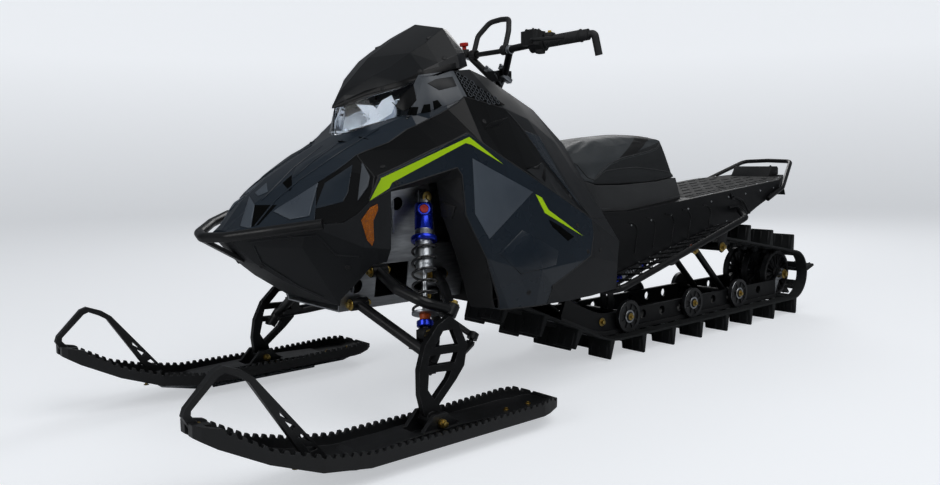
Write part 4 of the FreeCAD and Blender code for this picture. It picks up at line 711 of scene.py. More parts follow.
makeHexGrille()
makeSeals()
makeCreases()
bm = bmesh.new()
screw = [(-1, 7.0), (1.0, 7.0), (1.8, 6.2), (1.8, 3.2), (0.8, 2.8), (0.8, 0)]
for node, places in (("side_panels", ((869, 306, 650), (222, 373, 425), (262, 369, 505), (470, 372, 330))),
                     ("side_panels_upper", ((266, 340, 590), (560, 300, 810), (880, 260, 690))),
                     ("side_panels_rear", ((383, 383, 338), (190, 360, 480), (150, 350, 420))),
                     ("nose_pan", ((1103, 176, 520), (980, 255, 440), (1126, 60, 440), (905, 270, 380)))):
    addStuds(bm, node, places, (0.35, 0.9, 0.1), screw, 20)
finishPiece(bm, "panelScrews", "linerPolypropylene", both=True)
print("panels dressed")


# Headlights

lamp = {"housingBackMm": 26.0, "guideRadiusMm": 4.0, "slitMm": 3.2, "slitTurn": math.radians(24)}
bm = bmesh.new()
addPrism(bm, [Vector(p) - Vector((lamp["housingBackMm"], 0, 0)) for p in
              ((862, 3, 782), (846, 50, 777), (816, 100, 776), (786, 138, 808), (760, 142, 850), (752, 128, 886),
               (796, 72, 868), (830, 30, 854), (848, 3, 846))], (-3, -1, 0), 0.8)
finishPiece(bm, "lampHousings", "chromedReflector", both=True)
bm = bmesh.new()
for shape in (((819, 44, 862), (793, 88, 857), (789, 101, 846), (803, 91, 816), (811, 69, 838)),
              ((786, 102, 854), (776, 107, 870), (758, 128, 884), (757, 143, 862), (768, 142, 833), (800, 106, 806),
               (826, 68, 795), (806, 96, 822))):
    addPrism(bm, [Vector(p) + Vector((-7, -2, 0)) for p in shape], (-3.0, -2.0, 0.0), 1.0)
addTube(bm, rounded([(856, 8, 786), (836, 56, 783), (806, 104, 790), (778, 138, 812)], 20.0),
        lamp["guideRadiusMm"], 10)
finishPiece(bm, "lampGuides", "opalAcrylic", both=True)
bm = bmesh.new()
for y in (58.0, 128.0):
    centre = Vector((797.0 - (y - 58.0) * 0.62, y, 816.0 + (y - 58.0) * 0.3))
    addLathe(bm, centre, (1, 0, 0), [(-24, 0.0), (-14, 10.0), (-5, 15.0), (-1, 16.5), (1.5, 17.5), (1.5, 15.5),
                                     (-3, 13.5), (-12, 9.0), (-20, 0.0)], 32)
finishPiece(bm, "lampLenses", "opalAcrylic", both=True)
# painted shade: pitch-dark boxes for the slits under the headlight brow
bm = bmesh.new()
for centre, wide, tilt in (((885, 92, 757), 42, -0.15), ((848, 130, 766), 32, -0.25)):
    addBox(bm, centre, (5, wide, lamp["slitMm"]), turned("Z", lamp["slitTurn"]) @ turned("X", tilt), 1.0)
finishPiece(bm, "browSlitShades", "shadowMesh", both=True)
print("lamps")


# Windshield trim

bm = patchOn(["windshield"], [(862, 10, 852), (805, 74, 884), (742, 157, 906), (690, 201, 932), (584, 205, 958),
                              (584, 202, 975), (690, 197, 948), (741, 152, 920), (804, 72, 897), (860, 8, 862)],
             1.2, 1.6, 0.5, reach=120.0)
finishPiece(bm, "windshieldBand", "blackGlossPlastic", both=True)
bm = bmesh.new()
addBox(bm, (612, 130, 1050), (34, 5, 9), turned("Y", 0.35) @ turned("X", 0.5), 2.0)
addStuds(bm, "windshield", ((838, 30, 868), (770, 112, 900), (700, 190, 945), (620, 196, 985)), None,
         [(-1, 6.5), (1.2, 6.5), (2.6, 4.6), (3.0, 0.0)], 16)
finishPiece(bm, "windshieldFixings", "linerPolypropylene", both=True)
print("windshield")


# Shocks

shockTop, shockBottom = Vector((722, 222, 606)), Vector((822, 352, 262))
shock = {"adjusterMm": 46.0, "bushMm": 31.0, "coilMm": 31.0, "wireMm": 3.4, "coils": 9}
way = (shockBottom - shockTop).normalized()
outward = Vector((0.55, 0.83, 0.1))
outward = (outward - way * way.dot(outward)).normalized()
knob = shockTop + way * shock["adjusterMm"]
blue, red, silver, orange, dark = [bmesh.new() for _ in range(5)]
addLathe(blue, shockTop, way, [(22, 12), (24, 23.5), (27, 24.6), (58, 24.6), (59, 23.8), (62, 23.8), (63, 24.6),
                               (94, 24.6), (97, 23.6), (99, 22.0)], 40)
addLathe(blue, knob, outward, [(14, 18.0), (27, 18.0), (29, 16.6), (29, 13.0), (27, 12.6), (27, 0)], 32)
addLathe(blue, shockTop, way, [(116, 22.5), (117, 34.0), (119, 35.2), (128, 35.2), (130, 34.0), (131, 22.5)], 40)
addLathe(blue, shockTop, way, [(346, 10), (347, 21), (349, 22.5), (361, 22.5), (363, 21), (364, 10)], 36)
addLathe(red, knob, outward, [(27, 11.5), (30, 11.5), (31, 10.4), (31, 5.5), (29, 5), (29, 0)], 28)
for start, end, root, pitch, lean, crest, depth, count in ((99, 116, 22.5, 2.0, 0.4, 24.3, 0.9, 8),
                                                           (131, 201, 22.4, 2.6, 0.5, 24.0, 0.7, 26)):
    thread = [(start + 1 + i * pitch + (i % 2) * lean, crest - (i % 2) * depth) for i in range(count)]
    addLathe(silver, shockTop, way, [(start, root), *thread, (end, root)], 36)
addBox(silver, shockTop + way * 6.0, (34, 27.5, 46), aim(way) @ turned("Z", math.radians(90)), 5.0, 3)
addLathe(orange, shockTop, way, [(327, 8), (328, 14.0), (332, 15.5), (338, 14.0), (345, 15.5), (346, 8)], 28)
for eye in (shockTop, shockBottom):
    addLathe(dark, eye - Vector((0, shock["bushMm"] / 2.0, 0)), (0, 1, 0),
             [(0, 8.5), (0, 16.5), (2, 17.2), (29, 17.2), (31, 16.5), (31, 8.5)], 28)
for bm, name, material in ((red, "shockAdjusters", "redSilicone"), (blue, "frontShockHeads", "blueAnodised"),
                           (silver, "frontShockThreads", "machinedAluminium"),
                           (orange, "frontBumpStops", "orangeUrethane"),
                           (dark, "frontShockBushes", "linerPolypropylene")):
    finishPiece(bm, name, material, both=True)
blue, orange, dark = [bmesh.new() for _ in range(3)]
for top, bottom, share in (((200, 0, 402), (-92, 0, 180), 0.62), ((-300, 0, 226), (-668, 0, 352), 0.58)):
    top, bottom = Vector(top), Vector(bottom)
    way, length = (bottom - top).normalized(), (bottom - top).length
    waist = length * share
    for start, end in ((24, 66), (waist - 46, waist + 3)):
        addLathe(blue, top, way, [(start, 20), (start + 1, 24.6), (start + 3, 25.6), (end - 3, 25.6), (end - 1, 24.6),
                                  (end, 9)], 36)
    addLathe(orange, top, way, [(length - 52, 8), (length - 51, 14), (length - 44, 15.5), (length - 36, 14),
                                (length - 35, 8)], 28)
    # the springs of the skid shocks are close to their bodies
    first, across, points = waist * 0.42, Vector((0, 1, 0)), []
    for i in range(shock["coils"] * 16 + 1):
        along = first + (length - 58 - first) * i / (shock["coils"] * 16)
        angle = 2 * math.pi * i / 16
        ray = across * math.cos(angle) + way.cross(across) * math.sin(angle)
        points.append(top + way * along + ray * shock["coilMm"])
    addTube(dark, points, shock["wireMm"], 8)
finishPiece(blue, "skidShockHeads", "blueAnodised")
finishPiece(orange, "skidBumpStops", "orangeUrethane")
finishPiece(dark, "skidSprings", "springSteel")
print("shocks")


# Track

def loopPath(extra):
    # the belt's loop round its four turns: a function from a distance along it to place and outward direction
    turns = [(x, z, r + extra) for x, z, r in ((-1331.0, 174.0, 100.0), (-560.0, 349.0, 67.0), (350.0, 358.0, 85.0),
                                               (-165.0, 374.0, 300.0))]
    runs = []
    for (x0, z0, r0), (x1, z1, r1) in zip(turns, turns[1:] + turns[:1]):
        heading = math.atan2(z1 - z0, x1 - x0)
        normal = heading + math.pi / 2.0 - math.asin((r0 - r1) / math.hypot(x1 - x0, z1 - z0))
        out = Vector((math.cos(normal), 0, math.sin(normal)))
        runs.append((Vector((x0, 0, z0)) + out * r0, Vector((x1, 0, z1)) + out * r1, normal))
    parts = []
    for i, (start, end, normal) in enumerate(runs):
        parts.append(((end - start).length, start, (end - start).normalized(), normal, None))
        x, z, r = turns[(i + 1) % 4]
        sweep = (normal - runs[(i + 1) % 4][2]) % (2.0 * math.pi)
        parts.append((sweep * r, Vector((x, 0, z)), None, normal, r))
    total = sum(part[0] for part in parts)

    def at(s):
        s %= total
        for length, start, way, normal, r in parts:
            if s <= length:
                if r is None:
                    return start + way * s, Vector((math.cos(normal), 0, math.sin(normal)))
                angle = normal - s / r
                out = Vector((math.cos(angle), 0, math.sin(angle)))
                return start + out * r, out
            s -= length
    return at, total


def makeTrack():
    # a rubber belt with two rows of windows, staggered ribbed paddles outside and drive lugs inside
    belt = {"rows": 46, "thicknessMm": 8.0, "paddleMm": 65.7, "driveLugMm": 20.0, "driveLugY": 62.0, "clipY": 121.0,
            "windowColumns": (2, 6), "windowSteps": (0, 1, 5), "paddleTopMm": 11.0, "paddleFootMm": 25.0}
    at, total = loopPath(belt["thicknessMm"])
    pitch = total / belt["rows"]
    columns = [-190.4, -184.0, -143.0, -99.0, -30.0, 30.0, 99.0, 143.0, 184.0, 190.4]
    spans = len(columns) - 1
    steps = belt["rows"] * 6
    bm = bmesh.new()
    bmesh.ops.create_grid(bm, x_segments=steps, y_segments=spans, size=0.5)
    windows = []
    for face in bm.faces:
        centre = face.calc_center_median()
        column, step = int((centre.y + 0.5) * spans), int((centre.x + 0.5) * steps) % 6
        if column in belt["windowColumns"] and step in belt["windowSteps"]:
            windows.append(face)
    bmesh.ops.delete(bm, geom=windows, context="FACES")
    inner = set(extrudeFaces(bm, bm.faces[:])[0])
    for v in bm.verts:
        place, out = at((v.co.x + 0.5) * total)
        y = columns[round((v.co.y + 0.5) * spans)]
        v.co = place - out * (belt["thicknessMm"] - 0.1 if v in inner else 0.1) + Vector((0, y, 0))
    bmesh.ops.remove_doubles(bm, verts=bm.verts, dist=0.05)
    bevelEdges(bm, [e for e in bm.edges if len(e.link_faces) == 2 and e.calc_face_angle(0.0) > 1.0], 1.2, 1)
    clips = bmesh.new()
    for row in range(belt["rows"]):
        place, out = at(pitch * (row + 0.5))
        turn = Matrix((Vector((0, 1, 0)).cross(out), Vector((0, 1, 0)), out)).transposed().to_4x4()
        for low, high in [(-190.0, -86.0), (86.0, 190.0)] if row % 2 == 0 else [(-91.5, 91.5)]:
            paddle = bmesh.new()
            bmesh.ops.create_cube(paddle, size=1.0)
            for v in paddle.verts:
                top = v.co.z > 0
                v.co = Vector((v.co.x * belt["paddleTopMm" if top else "paddleFootMm"],
                               v.co.y * (high - low - (4.0 if top else 0.0)), belt["paddleMm"] if top else -1.5))
            bevelEdges(paddle, [e for e in paddle.edges if max(v.co.z for v in e.verts) > 1.0], 2.4, 1)
            count = 4 if row % 2 else 3
            for i in range(count):
                y = (i + 0.5) / count * (high - low) - (high - low) / 2.0
                # a rib that stiffens the paddle
                addBox(paddle, (0, y, belt["paddleMm"] * 0.46), (24.0, 7.0, belt["paddleMm"] * 0.86), None, 2.0, 1)
            bmesh.ops.transform(paddle, matrix=Matrix.Translation(place + Vector((0, (low + high) / 2.0, 0))) @ turn,
                                verts=paddle.verts)
            gather(bm, paddle)
        for side in (-1, 1):
            for target, centre, size, edge in (
                    (bm, (0, side * belt["driveLugY"], -belt["thicknessMm"] - belt["driveLugMm"] / 2.0 + 1.0),
                     (26.0, 16.0, belt["driveLugMm"]), 4.0),
                    (clips, (0, side * belt["clipY"], -belt["thicknessMm"] / 2.0),
                     (20.0, 37.0, belt["thicknessMm"] + 0.3), 1.2)):
                part = bmesh.new()
                addBox(part, centre, size, None, edge)
                bmesh.ops.transform(part, matrix=Matrix.Translation(place) @ turn, verts=part.verts)
                gather(target, part)
    piece = finishPiece(bm, "trackBelt", "trackRubber", angle=40)
    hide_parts("track")
    finishPiece(clips, "trackClips", "clipSteel")


makeTrack()
print("track")


# Fasteners

bolts = {"armMm": 15.0, "railMm": 13.0, "axleMm": 20.0, "pivotMm": 18.0, "skiMm": 14.0, "plateMm": 8.0}
bogies = (-250.0, -640.0, -960.0)
bm = bmesh.new()
for x, z, reach in ((846, 412, 25), (642, 380, 25), (900, 326, 25), (640, 322, 25)):
    for end in (-1, 1):
        addBolt(bm, (x + end * reach, 157.0 + (z - 306.0) * 0.2, z), (end, 0, 0), bolts["armMm"])
for size, places in (("armMm", [place + Vector((0, 16.5, 0)) for place in (shockTop, shockBottom)]),
                     ("railMm", [(x, 154.5, 132.3) for x in bogies]),
                     ("armMm", [(-973, 127.2, 126), (-125, 127.2, 126), (-300, 127.2, 124)]),       # along the rails
                     ("axleMm", [(-1331, 139.2, 174)]),
                     ("armMm", [(200, 206.3, 402), (140, 206.3, 302), (-560, 206.3, 349)]),         # tunnel sides
                     ("pivotMm", [(-734, 211.0, 348)])):
    for place in places:
        addBolt(bm, place, (0, 1, 0), bolts[size])
finishPiece(bm, "chassisBolts", "yellowZinc", both=True)

bm = bmesh.new()
addPrism(bm, [(x, 207, z) for x, z in ((-786, 437), (-700, 424), (-712, 352), (-722, 330), (-734, 325), (-746, 330),
                                       (-757, 352))], (0, 3.6, 0), 0.8)
addRod(bm, (-734, 203, 348), (-734, 206.9, 348), 17.0, edge=0.8)
finishPiece(bm, "pivotHangers", "powderCoatedAluminium", both=True)

for side, name in ((1, "left"), (-1, "right")):
    bm = bmesh.new()
    up = Vector((-76.0, -14.0 * side, 108.0)).normalized()          # the kingpin's axis
    addBolt(bm, Vector((770, 396 * side, 322)) + up * 17.5, up, bolts["skiMm"])
    for end in (-1, 1):
        addBolt(bm, (889, (457 + end * 49.0) * side, 76), (0, end * side, 0), bolts["skiMm"], washer=1.2)
        addBolt(bm, (1458, (457 + end * 30.0) * side, 181), (0, end * side, 0), bolts["plateMm"])
    for x in (560, 640, 720, 1080, 1170, 1260):
        addBolt(bm, (x, 457 * side, 47.6), (0, 0, 1), bolts["plateMm"])
    finishPiece(bm, "spindleBolts" + name.capitalize(), "yellowZinc", "spindle_" + name)
print("fasteners")


# Tunnel, boards and tail

tunnel = {"ribMm": 2.6, "rivetMm": 4.0, "matMm": 1.6, "sideY": 206.2, "slope": 0.083}
bm = bmesh.new()
for x, top, bottom in ((-211, 474, 391), (-312, 484, 401), (-421, 492, 411), (-523, 501, 422), (-652, 511, 434)):
    path = ((42, top + 5), (6, top), (-12, top - 26), (2, bottom + 6), (6, bottom - 22))
    addTube(bm, rounded([(x + shift, tunnel["sideY"], z) for shift, z in path], 22.0), tunnel["ribMm"], 8)
finishPiece(bm, "tunnelRibs", "powderCoatedAluminium", both=True)


def tunnelTop(x):
    # height of the tunnel's sloping top
    return 516.0 + (-200.0 - x) / 1140.0 * 95.0


bm = bmesh.new()
rivet = [(0, tunnel["rivetMm"]), (1.2, tunnel["rivetMm"] * 0.9), (2.2, tunnel["rivetMm"] * 0.5), (2.5, 0.0)]
for x, z in ((-187, 468), (-297, 479), (-413, 490), (-517, 507), (-664, 527), (-780, 540), (-900, 548), (-1010, 556),
             (-1110, 563)):
    addLathe(bm, (x, 206.0, z), (0, 1, 0), rivet, 12)
for x in range(-230, -830, -60):
    addLathe(bm, (x, 206.0, 317 + (-214 - x) * 0.206 + 14), (0, 1, 0), rivet, 10)
for x in range(-600, -1320, -80):
    y = 196.0 if x > -1150 else 196.0 - (-1150 - x) * 0.45
    addLathe(bm, (x, y, tunnelTop(x)), (tunnel["slope"], 0, 1), rivet, 10)
finishPiece(bm, "tunnelRivets", "clipSteel", both=True)

bm = patchOn(["tunnel"], [(-562, -180, 550), (-562, 180, 550), (-1150, 180, 600), (-1252, 132, 608),
                          (-1252, -132, 608), (-1150, -180, 600)], tunnel["matMm"], 2.0, way=(tunnel["slope"], 0, 1))
finishPiece(bm, "tractionMat", "tractionMat")
bm = bmesh.new()
for x in range(-600, -1266, -74):
    for y in range(-150, 151, 60):
        # none where the anchor bores are, nor on the tail's cut corners
        if abs(abs(y) - 120) < 40 and min(abs(x + 860), abs(x + 1180)) < 26 or abs(y) > 130 and x < -1140:
            continue
        addBox(bm, (x, y, tunnelTop(x) + 2.6), (46, 8, 2.6), turned("Y", tunnel["slope"]), 0.8, 1)
finishPiece(bm, "matCleats", "trackRubber")

bm = bmesh.new()
for path in ([(-792, 209, 546), (-868, 212, 524), (-905, 222, 470), (-838, 262, 486)],
             [(-780, 209, 500), (-850, 214, 500), (-872, 226, 474)]):
    addTube(bm, rounded(path, 14.0), 4.2, 10)
addPrism(bm, [(-792, 207, 552), (-812, 207, 552), (-820, 207, 528), (-800, 207, 528)], (0, 3, 0), 0.6)
addBolt(bm, (-806, 210, 540), (0, 1, 0), bolts["plateMm"])
finishPiece(bm, "footStops", "powderCoatedSteel", both=True)

board = {"rungs": 13, "teeth": 10, "rimTeeth": 44, "toothMm": 3.4}
bm = bmesh.new()
for rung in range(board["rungs"]):
    share = (rung + 0.7) / board["rungs"]
    x, z = 40.0 - share * 730.0, 280.0 + share * 190.0
    low = z - 30.0 * share - 8.0
    for i in range(board["teeth"]):
        t = (i + 0.6) / (board["teeth"] + 0.6)
        place = Vector((x, 207.2 + t * 128.0, low + t * (z - low) + 2.4))
        addRod(bm, place, place + Vector((0, 0, 5.5)), board["toothMm"], 0.8, 4)
for i in range(board["rimTeeth"]):
    t = (i + 0.5) / board["rimTeeth"]
    place = Vector((40.0 - t * 730.0, 338.0, 280.0 + t * 190.0 + 9.0))
    addRod(bm, place, place + Vector((0.8, 0, 5.0)), 3.6, 1.0, 4)
finishPiece(bm, "boardTeeth", "powderCoatedAluminium", both=True)
bm = bmesh.new()
addBox(bm, (-425, 268, 383), (26, 18, 4), turned("Y", 0.25), 1.2)
finishPiece(bm, "boardMarks", "orangeUrethane", both=True)

bm = bmesh.new()
for y in range(-60, 61, 15):
    addBox(bm, (-1351.6, y, 628.5), (2.2, 9.0, 17.0), None, 0.8, 1)
finishPiece(bm, "tailOptics", "redAcrylic")
bm = bmesh.new()
for z in (643.6, 613.6):
    addBox(bm, (-1349.6, 0, z), (8, 150, 3.2), None, 0.8)
for side in (-1, 1):
    addBox(bm, (-1349.6, side * 73.5, 628.5), (8, 3.2, 32), None, 0.8)
    addBolt(bm, (-1300, side * 80, 648.2), (0, 0, 1), 7.0)
finishPiece(bm, "tailFrame", "linerPolypropylene")
# the snow flap hangs from the end of the tunnel
bm = bmesh.new()
for v in bmesh.ops.create_grid(bm, x_segments=6, y_segments=10, size=0.5)["verts"]:
    drop = 0.5 - v.co.x
    v.co = Vector((-1343.0 - drop * 30.0 - 6.0 * drop * drop, v.co.y * (226.0 - drop * 10.0), 600.0 - drop * 78.0))
bmesh.ops.translate(bm, vec=(-3.5, 0, -1.0), verts=extrudeFaces(bm, bm.faces[:])[0])
finishPiece(bm, "snowFlap", "trackRubber")
print("tunnel and tail")


# Skid wheels

def addSpokes(bm, hub, radius, count, first, size):
    # ribs set radially round a hub
    for i in range(count):
        angle = 2.0 * math.pi * (i + first) / count
        spoke = Vector((math.cos(angle), 0, math.sin(angle))) * radius
        addBox(bm, Vector(hub) + spoke, size, turned("Y", -angle), 0.8, 1)


bm = bmesh.new()
for y in (-93.0, 0.0, 93.0):
    addSpokes(bm, (-1331, y, 174), 55.0, 18, 0.0, (66, 19, 3.4))
    for side in (-1, 1):
        for shift, profile, steps in (
                (11.5, [(0, 30), (1.5, 29), (2, 24), (4, 23), (4.5, 18), (4.5, 10.5)], 32),
                (11.8, [(0, 88), (1.4, 90), (1.6, 96), (0, 98)], 48)):
            addLathe(bm, (-1331, y + side * shift, 174), (0, side, 0), profile, steps)
finishPiece(bm, "rearWheelRibs", "nylonWheel")
ribs, shields = bmesh.new(), bmesh.new()
for x in bogies:
    addSpokes(ribs, (x, 148.0, 132.3), 30.0, 8, 0.5, (34, 4.5, 5))
    for target, y, profile, steps in ((ribs, 150.0, [(0, 17), (3, 17), (4, 15), (4, 9.3)], 28),
                                      (shields, 151.4, [(-3, 58.2), (-2, 58.9), (-1, 58.2)], 40),
                                      (shields, 150.6, [(0, 24), (1.2, 23), (1.2, 18), (0, 17)], 28)):
        addLathe(target, (x, y, 132.3), (0, 1, 0), profile, steps)
finishPiece(ribs, "bogieRibs", "nylonWheel", both=True)
finishPiece(shields, "bearingShields", "clipSteel", both=True)
print("wheels")


# Handlebar

bm = bmesh.new()
for y in (-34.0, 34.0):
    for x, z, size in ((246, 988, (34, 20, 13)), (236, 960, (40, 22, 15))):
        addBox(bm, (x, y, z), size, turned("Y", -0.5), 2.5)
    for shift in (-11, 11):
        addBolt(bm, (249 + shift * 0.88, y, 996 + shift * 0.48), (0.48, 0, 0.88), 6.5)
for y in (-98.0, 98.0):
    addRod(bm, (277, y - 7, 1042.5), (277, y + 7, 1042.5), 14.5, edge=1.5)
finishPiece(bm, "barClamps", "machinedAluminium", "handlebar")
bm = bmesh.new()
addTube(bm, rounded([(272, 20, 982), (224, 24, 978), (244, 22, 938), (272, 20, 976)], 8.0), 2.6, 10)
finishPiece(bm, "tetherHook", "hardenedSteel", "handlebar")

grip = {"ribs": 17, "ribMm": 6.4, "radiusMm": 16.6, "ridgeMm": 1.0, "turn": 0.31}
inner = Vector((286, 200, 1046))
barWay = (Vector((230, 372, 1060)) - inner).normalized()
bm = bmesh.new()
low, high = grip["radiusMm"], grip["radiusMm"] + grip["ridgeMm"]
ring = [(0, low)]
for i in range(grip["ribs"]):
    s = 3.0 + i * grip["ribMm"]
    ring += [(s, low), (s + 1.0, high), (s + 3.6, high), (s + 4.6, low)]
addLathe(bm, inner + barWay * 54.0, barWay, ring, 28)
for s in (50.0, 162.0):
    addLathe(bm, inner + barWay * s, barWay, [(0, 11.5), (0.5, 19), (4.5, 19.6), (5.5, 17), (6, 11.5)], 28)
finishPiece(bm, "gripRibs", "gripRubber", "handlebar", both=True)
bm = bmesh.new()
for along, shift, size, edge, steps in (
        (22.0, (18, 0, 15), (46, 46, 38), 7.0, 3), (22.0, (20, 2, 36), (38, 38, 5), 2.0, 2),
        (66.0, (4, 0, 17), (26, 30, 16), 4.0, 2), (36.0, (6, 0, -26), (26, 24, 14), 4.0, 2)):
    addBox(bm, inner + barWay * along + Vector(shift), size, turned("Z", grip["turn"]), edge, steps)
finishPiece(bm, "switchBodies", "linerPolypropylene", "handlebar", both=True)
bm = bmesh.new()
for shift in ((8, -14, 38), (8, 14, 38), (32, -14, 38), (32, 14, 38)):
    addBolt(bm, inner + barWay * 22.0 + Vector(shift), (0, 0, 1), 5.0)
finishPiece(bm, "switchScrews", "hardenedSteel", "handlebar", both=True)
bm = bmesh.new()
addRod(bm, inner + barWay * 66.0 + Vector((4, 0, 24)), inner + barWay * 66.0 + Vector((4, 0, 31)), 6.0, 5.4, 20, 1.2)
finishPiece(bm, "thumbButton", "yellowSilicone", "handlebar")
bm = bmesh.new()
addLathe(bm, (290, -108, 1062), (0.1, 0, 1),
         [(0, 7), (10, 7), (11, 13), (14, 14.5), (21, 14.5), (23, 12.5), (23.5, 0)], 28)
finishPiece(bm, "stopButton", "redSilicone", "handlebar")
bm = bmesh.new()
addRod(bm, (288, -108, 1044), (290, -108, 1063), 15.0, edge=2.0)
addBox(bm, (282, -108, 1046), (40, 34, 24), turned("Y", -0.1), 4.0)
finishPiece(bm, "stopHousing", "linerPolypropylene", "handlebar")
bm = bmesh.new()
for y in (-75.0, 75.0):
    addLathe(bm, (277, y - 12, 1044), (0, 1, 0), [(0, 11.4), (0.5, 15), (2, 16), (22, 16), (23.5, 15), (24, 11.4)], 28)
finishPiece(bm, "strapSleeves", "gripRubber", "handlebar")

# the filler cap stands on the console, in front of the seat
place, normal = skinFinder("console")((116, 0, 850), (0, 0, 1))
bm = bmesh.new()
addLathe(bm, place, normal, [(-3, 44), (6, 44), (9, 42), (10, 38), (12, 37), (30, 36), (34, 33), (35, 28), (35, 0)], 40)
for i in range(16):
    angle = 2 * math.pi * i / 16
    spot = place + aim(normal).to_3x3() @ Vector((math.cos(angle) * 36.0, math.sin(angle) * 36.0, 21.0))
    addRod(bm, spot - normal * 9.0, spot + normal * 9.0, 3.0, sides=8)
finishPiece(bm, "fillerCap", "linerPolypropylene")
print("handlebar")


# Seat

seatSeam = [(60, 145, 712), (17, 147, 679), (-20, 158, 637), (-43, 162, 628), (-75, 161, 649), (-128, 156, 681),
            (-170, 154, 690), (-210, 151, 701), (-291, 145, 712), (-373, 139, 724), (-421, 136, 734), (-462, 118, 758)]
skirtSeam = [(-43, 163, 628), (-111, 159, 657), (-200, 156, 664), (-281, 153, 666), (-400, 148, 655), (-503, 140, 642)]


def nearSeam(point, seam):
    # distance in the side view from a point to a seam, in millimetres
    best = 1e9
    for a, b in zip(seam, seam[1:]):
        ax, az, bx, bz = a[0], a[2], b[0], b[2]
        along = max(0.0, min(1.0, ((point.x - ax) * (bx - ax) + (point.z - az) * (bz - az)) /
                             ((bx - ax) ** 2 + (bz - az) ** 2)))
        best = min(best, math.hypot(point.x - ax - along * (bx - ax), point.z - az - along * (bz - az)))
    return best


def makeSeat():
    # a stuffed cover: the cushion's shape is blown up against its seams, which hold it in
    cushion = {"voxelMm": 6.0, "smallerMm": 5.0, "pressure": 4.0, "frames": 20, "capMm": 22.0, "seamMm": 4.5,
               "restZ": 0.625, "fadeZ": 0.02, "heldBelowMm": 618.0, "heldAheadMm": 40.0, "sideFromMm": 90.0}
    bm = cadCopy("seat")
    bmesh.ops.scale(bm, vec=[toMetres] * 3, verts=bm.verts)
    piece = addMesh(bm, "seatCushion")
    remesh = piece.modifiers.new("remesh", "REMESH")
    remesh.mode = "VOXEL"
    remesh.voxel_size = cushion["voxelMm"] / 1000.0

    def applyModifiers():
        ready = bpy.data.meshes.new_from_object(piece.evaluated_get(bpy.context.evaluated_depsgraph_get()))
        piece.modifiers.clear()
        piece.data = ready

    def relax():
        bmesh.ops.smooth_vert(bm, verts=bm.verts, factor=0.5, use_axis_x=True, use_axis_y=True, use_axis_z=True)

    applyModifiers()
    bm = bmesh.new()
    bm.from_mesh(piece.data)
    relax()
    relax()
    bm.normal_update()
    for v in bm.verts:
        above = min(1.0, max(0.0, (v.co.z - cushion["restZ"]) / cushion["fadeZ"]))
        v.co -= v.normal * cushion["smallerMm"] / 1000.0 * above
    held = []
    for v in bm.verts:
        place = v.co * 1000.0
        seamed = (abs(place.y) > cushion["sideFromMm"] and
                  min(nearSeam(place, seatSeam), nearSeam(place, skirtSeam)) < cushion["seamMm"])
        if place.z < cushion["heldBelowMm"] or place.x > cushion["heldAheadMm"] or seamed:
            held.append(v.index)
    bm.to_mesh(piece.data)
    bm.free()
    start = [v.co.copy() for v in piece.data.vertices]
    group = piece.vertex_groups.new(name="held")
    group.add(held, 1.0, "REPLACE")
    cloth = piece.modifiers.new("cloth", "CLOTH")
    for name, value in (("quality", 5), ("mass", 0.4), ("tension_stiffness", 18.0), ("compression_stiffness", 14.0),
                        ("shear_stiffness", 8.0), ("bending_stiffness", 1.2), ("use_pressure", True)):
        setattr(cloth.settings, name, value)
    cloth.settings.uniform_pressure_force = cushion["pressure"]
    cloth.settings.effector_weights.gravity = 0.0
    cloth.settings.vertex_group_mass = "held"
    cloth.point_cache.frame_start = 1
    cloth.point_cache.frame_end = cushion["frames"]
    for step in range(1, cushion["frames"] + 1):
        bpy.context.scene.frame_set(step)
    applyModifiers()
    bpy.context.scene.frame_set(1)
    moves = [(v.co - a).length for v, a in zip(piece.data.vertices, start)]
    print("seat moved by", round(max(moves) * 1000.0, 1), "mm at most,",
          round(sum(moves) / len(moves) * 1000.0, 1), "on average")
    bm = bmesh.new()
    bm.from_mesh(piece.data)
    low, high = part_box("seat")
    for v, before in zip(bm.verts, start):
        move = v.co - before
        if move.length > cushion["capMm"] / 1000.0:
            v.co = before + move.normalized() * cushion["capMm"] / 1000.0
    relax()
    for v in bm.verts:                              # it stays in the CAD seat's box, give or take a little
        for i in range(3):
            v.co[i] = min(max(v.co[i], low[i] - 0.002), high[i] + 0.004)
    bm.to_mesh(piece.data)
    bm.free()
    piece.data.polygons.foreach_set("use_smooth", [True] * len(piece.data.polygons))
    piece.data.materials.clear()
    piece.data.materials.append(look["seatVinyl"])
    finer = piece.modifiers.new("finer", "SUBSURF")
    finer.levels = 1
    finer.render_levels = 1
    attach(piece, "chassis")
    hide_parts("seat")
    return BVHTree.FromObject(piece, bpy.context.evaluated_depsgraph_get())


seatSkin = makeSeat()


def sewAlong(seam, spacing, side):
    # evenly spaced places along a seam, laid on the cushion, with the outward direction there
    laid = []
    for p in evenly(seam, spacing):
        near, normal, _, _ = seatSkin.find_nearest(Vector((p.x, p.y * side, p.z)) / 1000.0)
        laid.append((near * 1000.0, normal))
    return laid


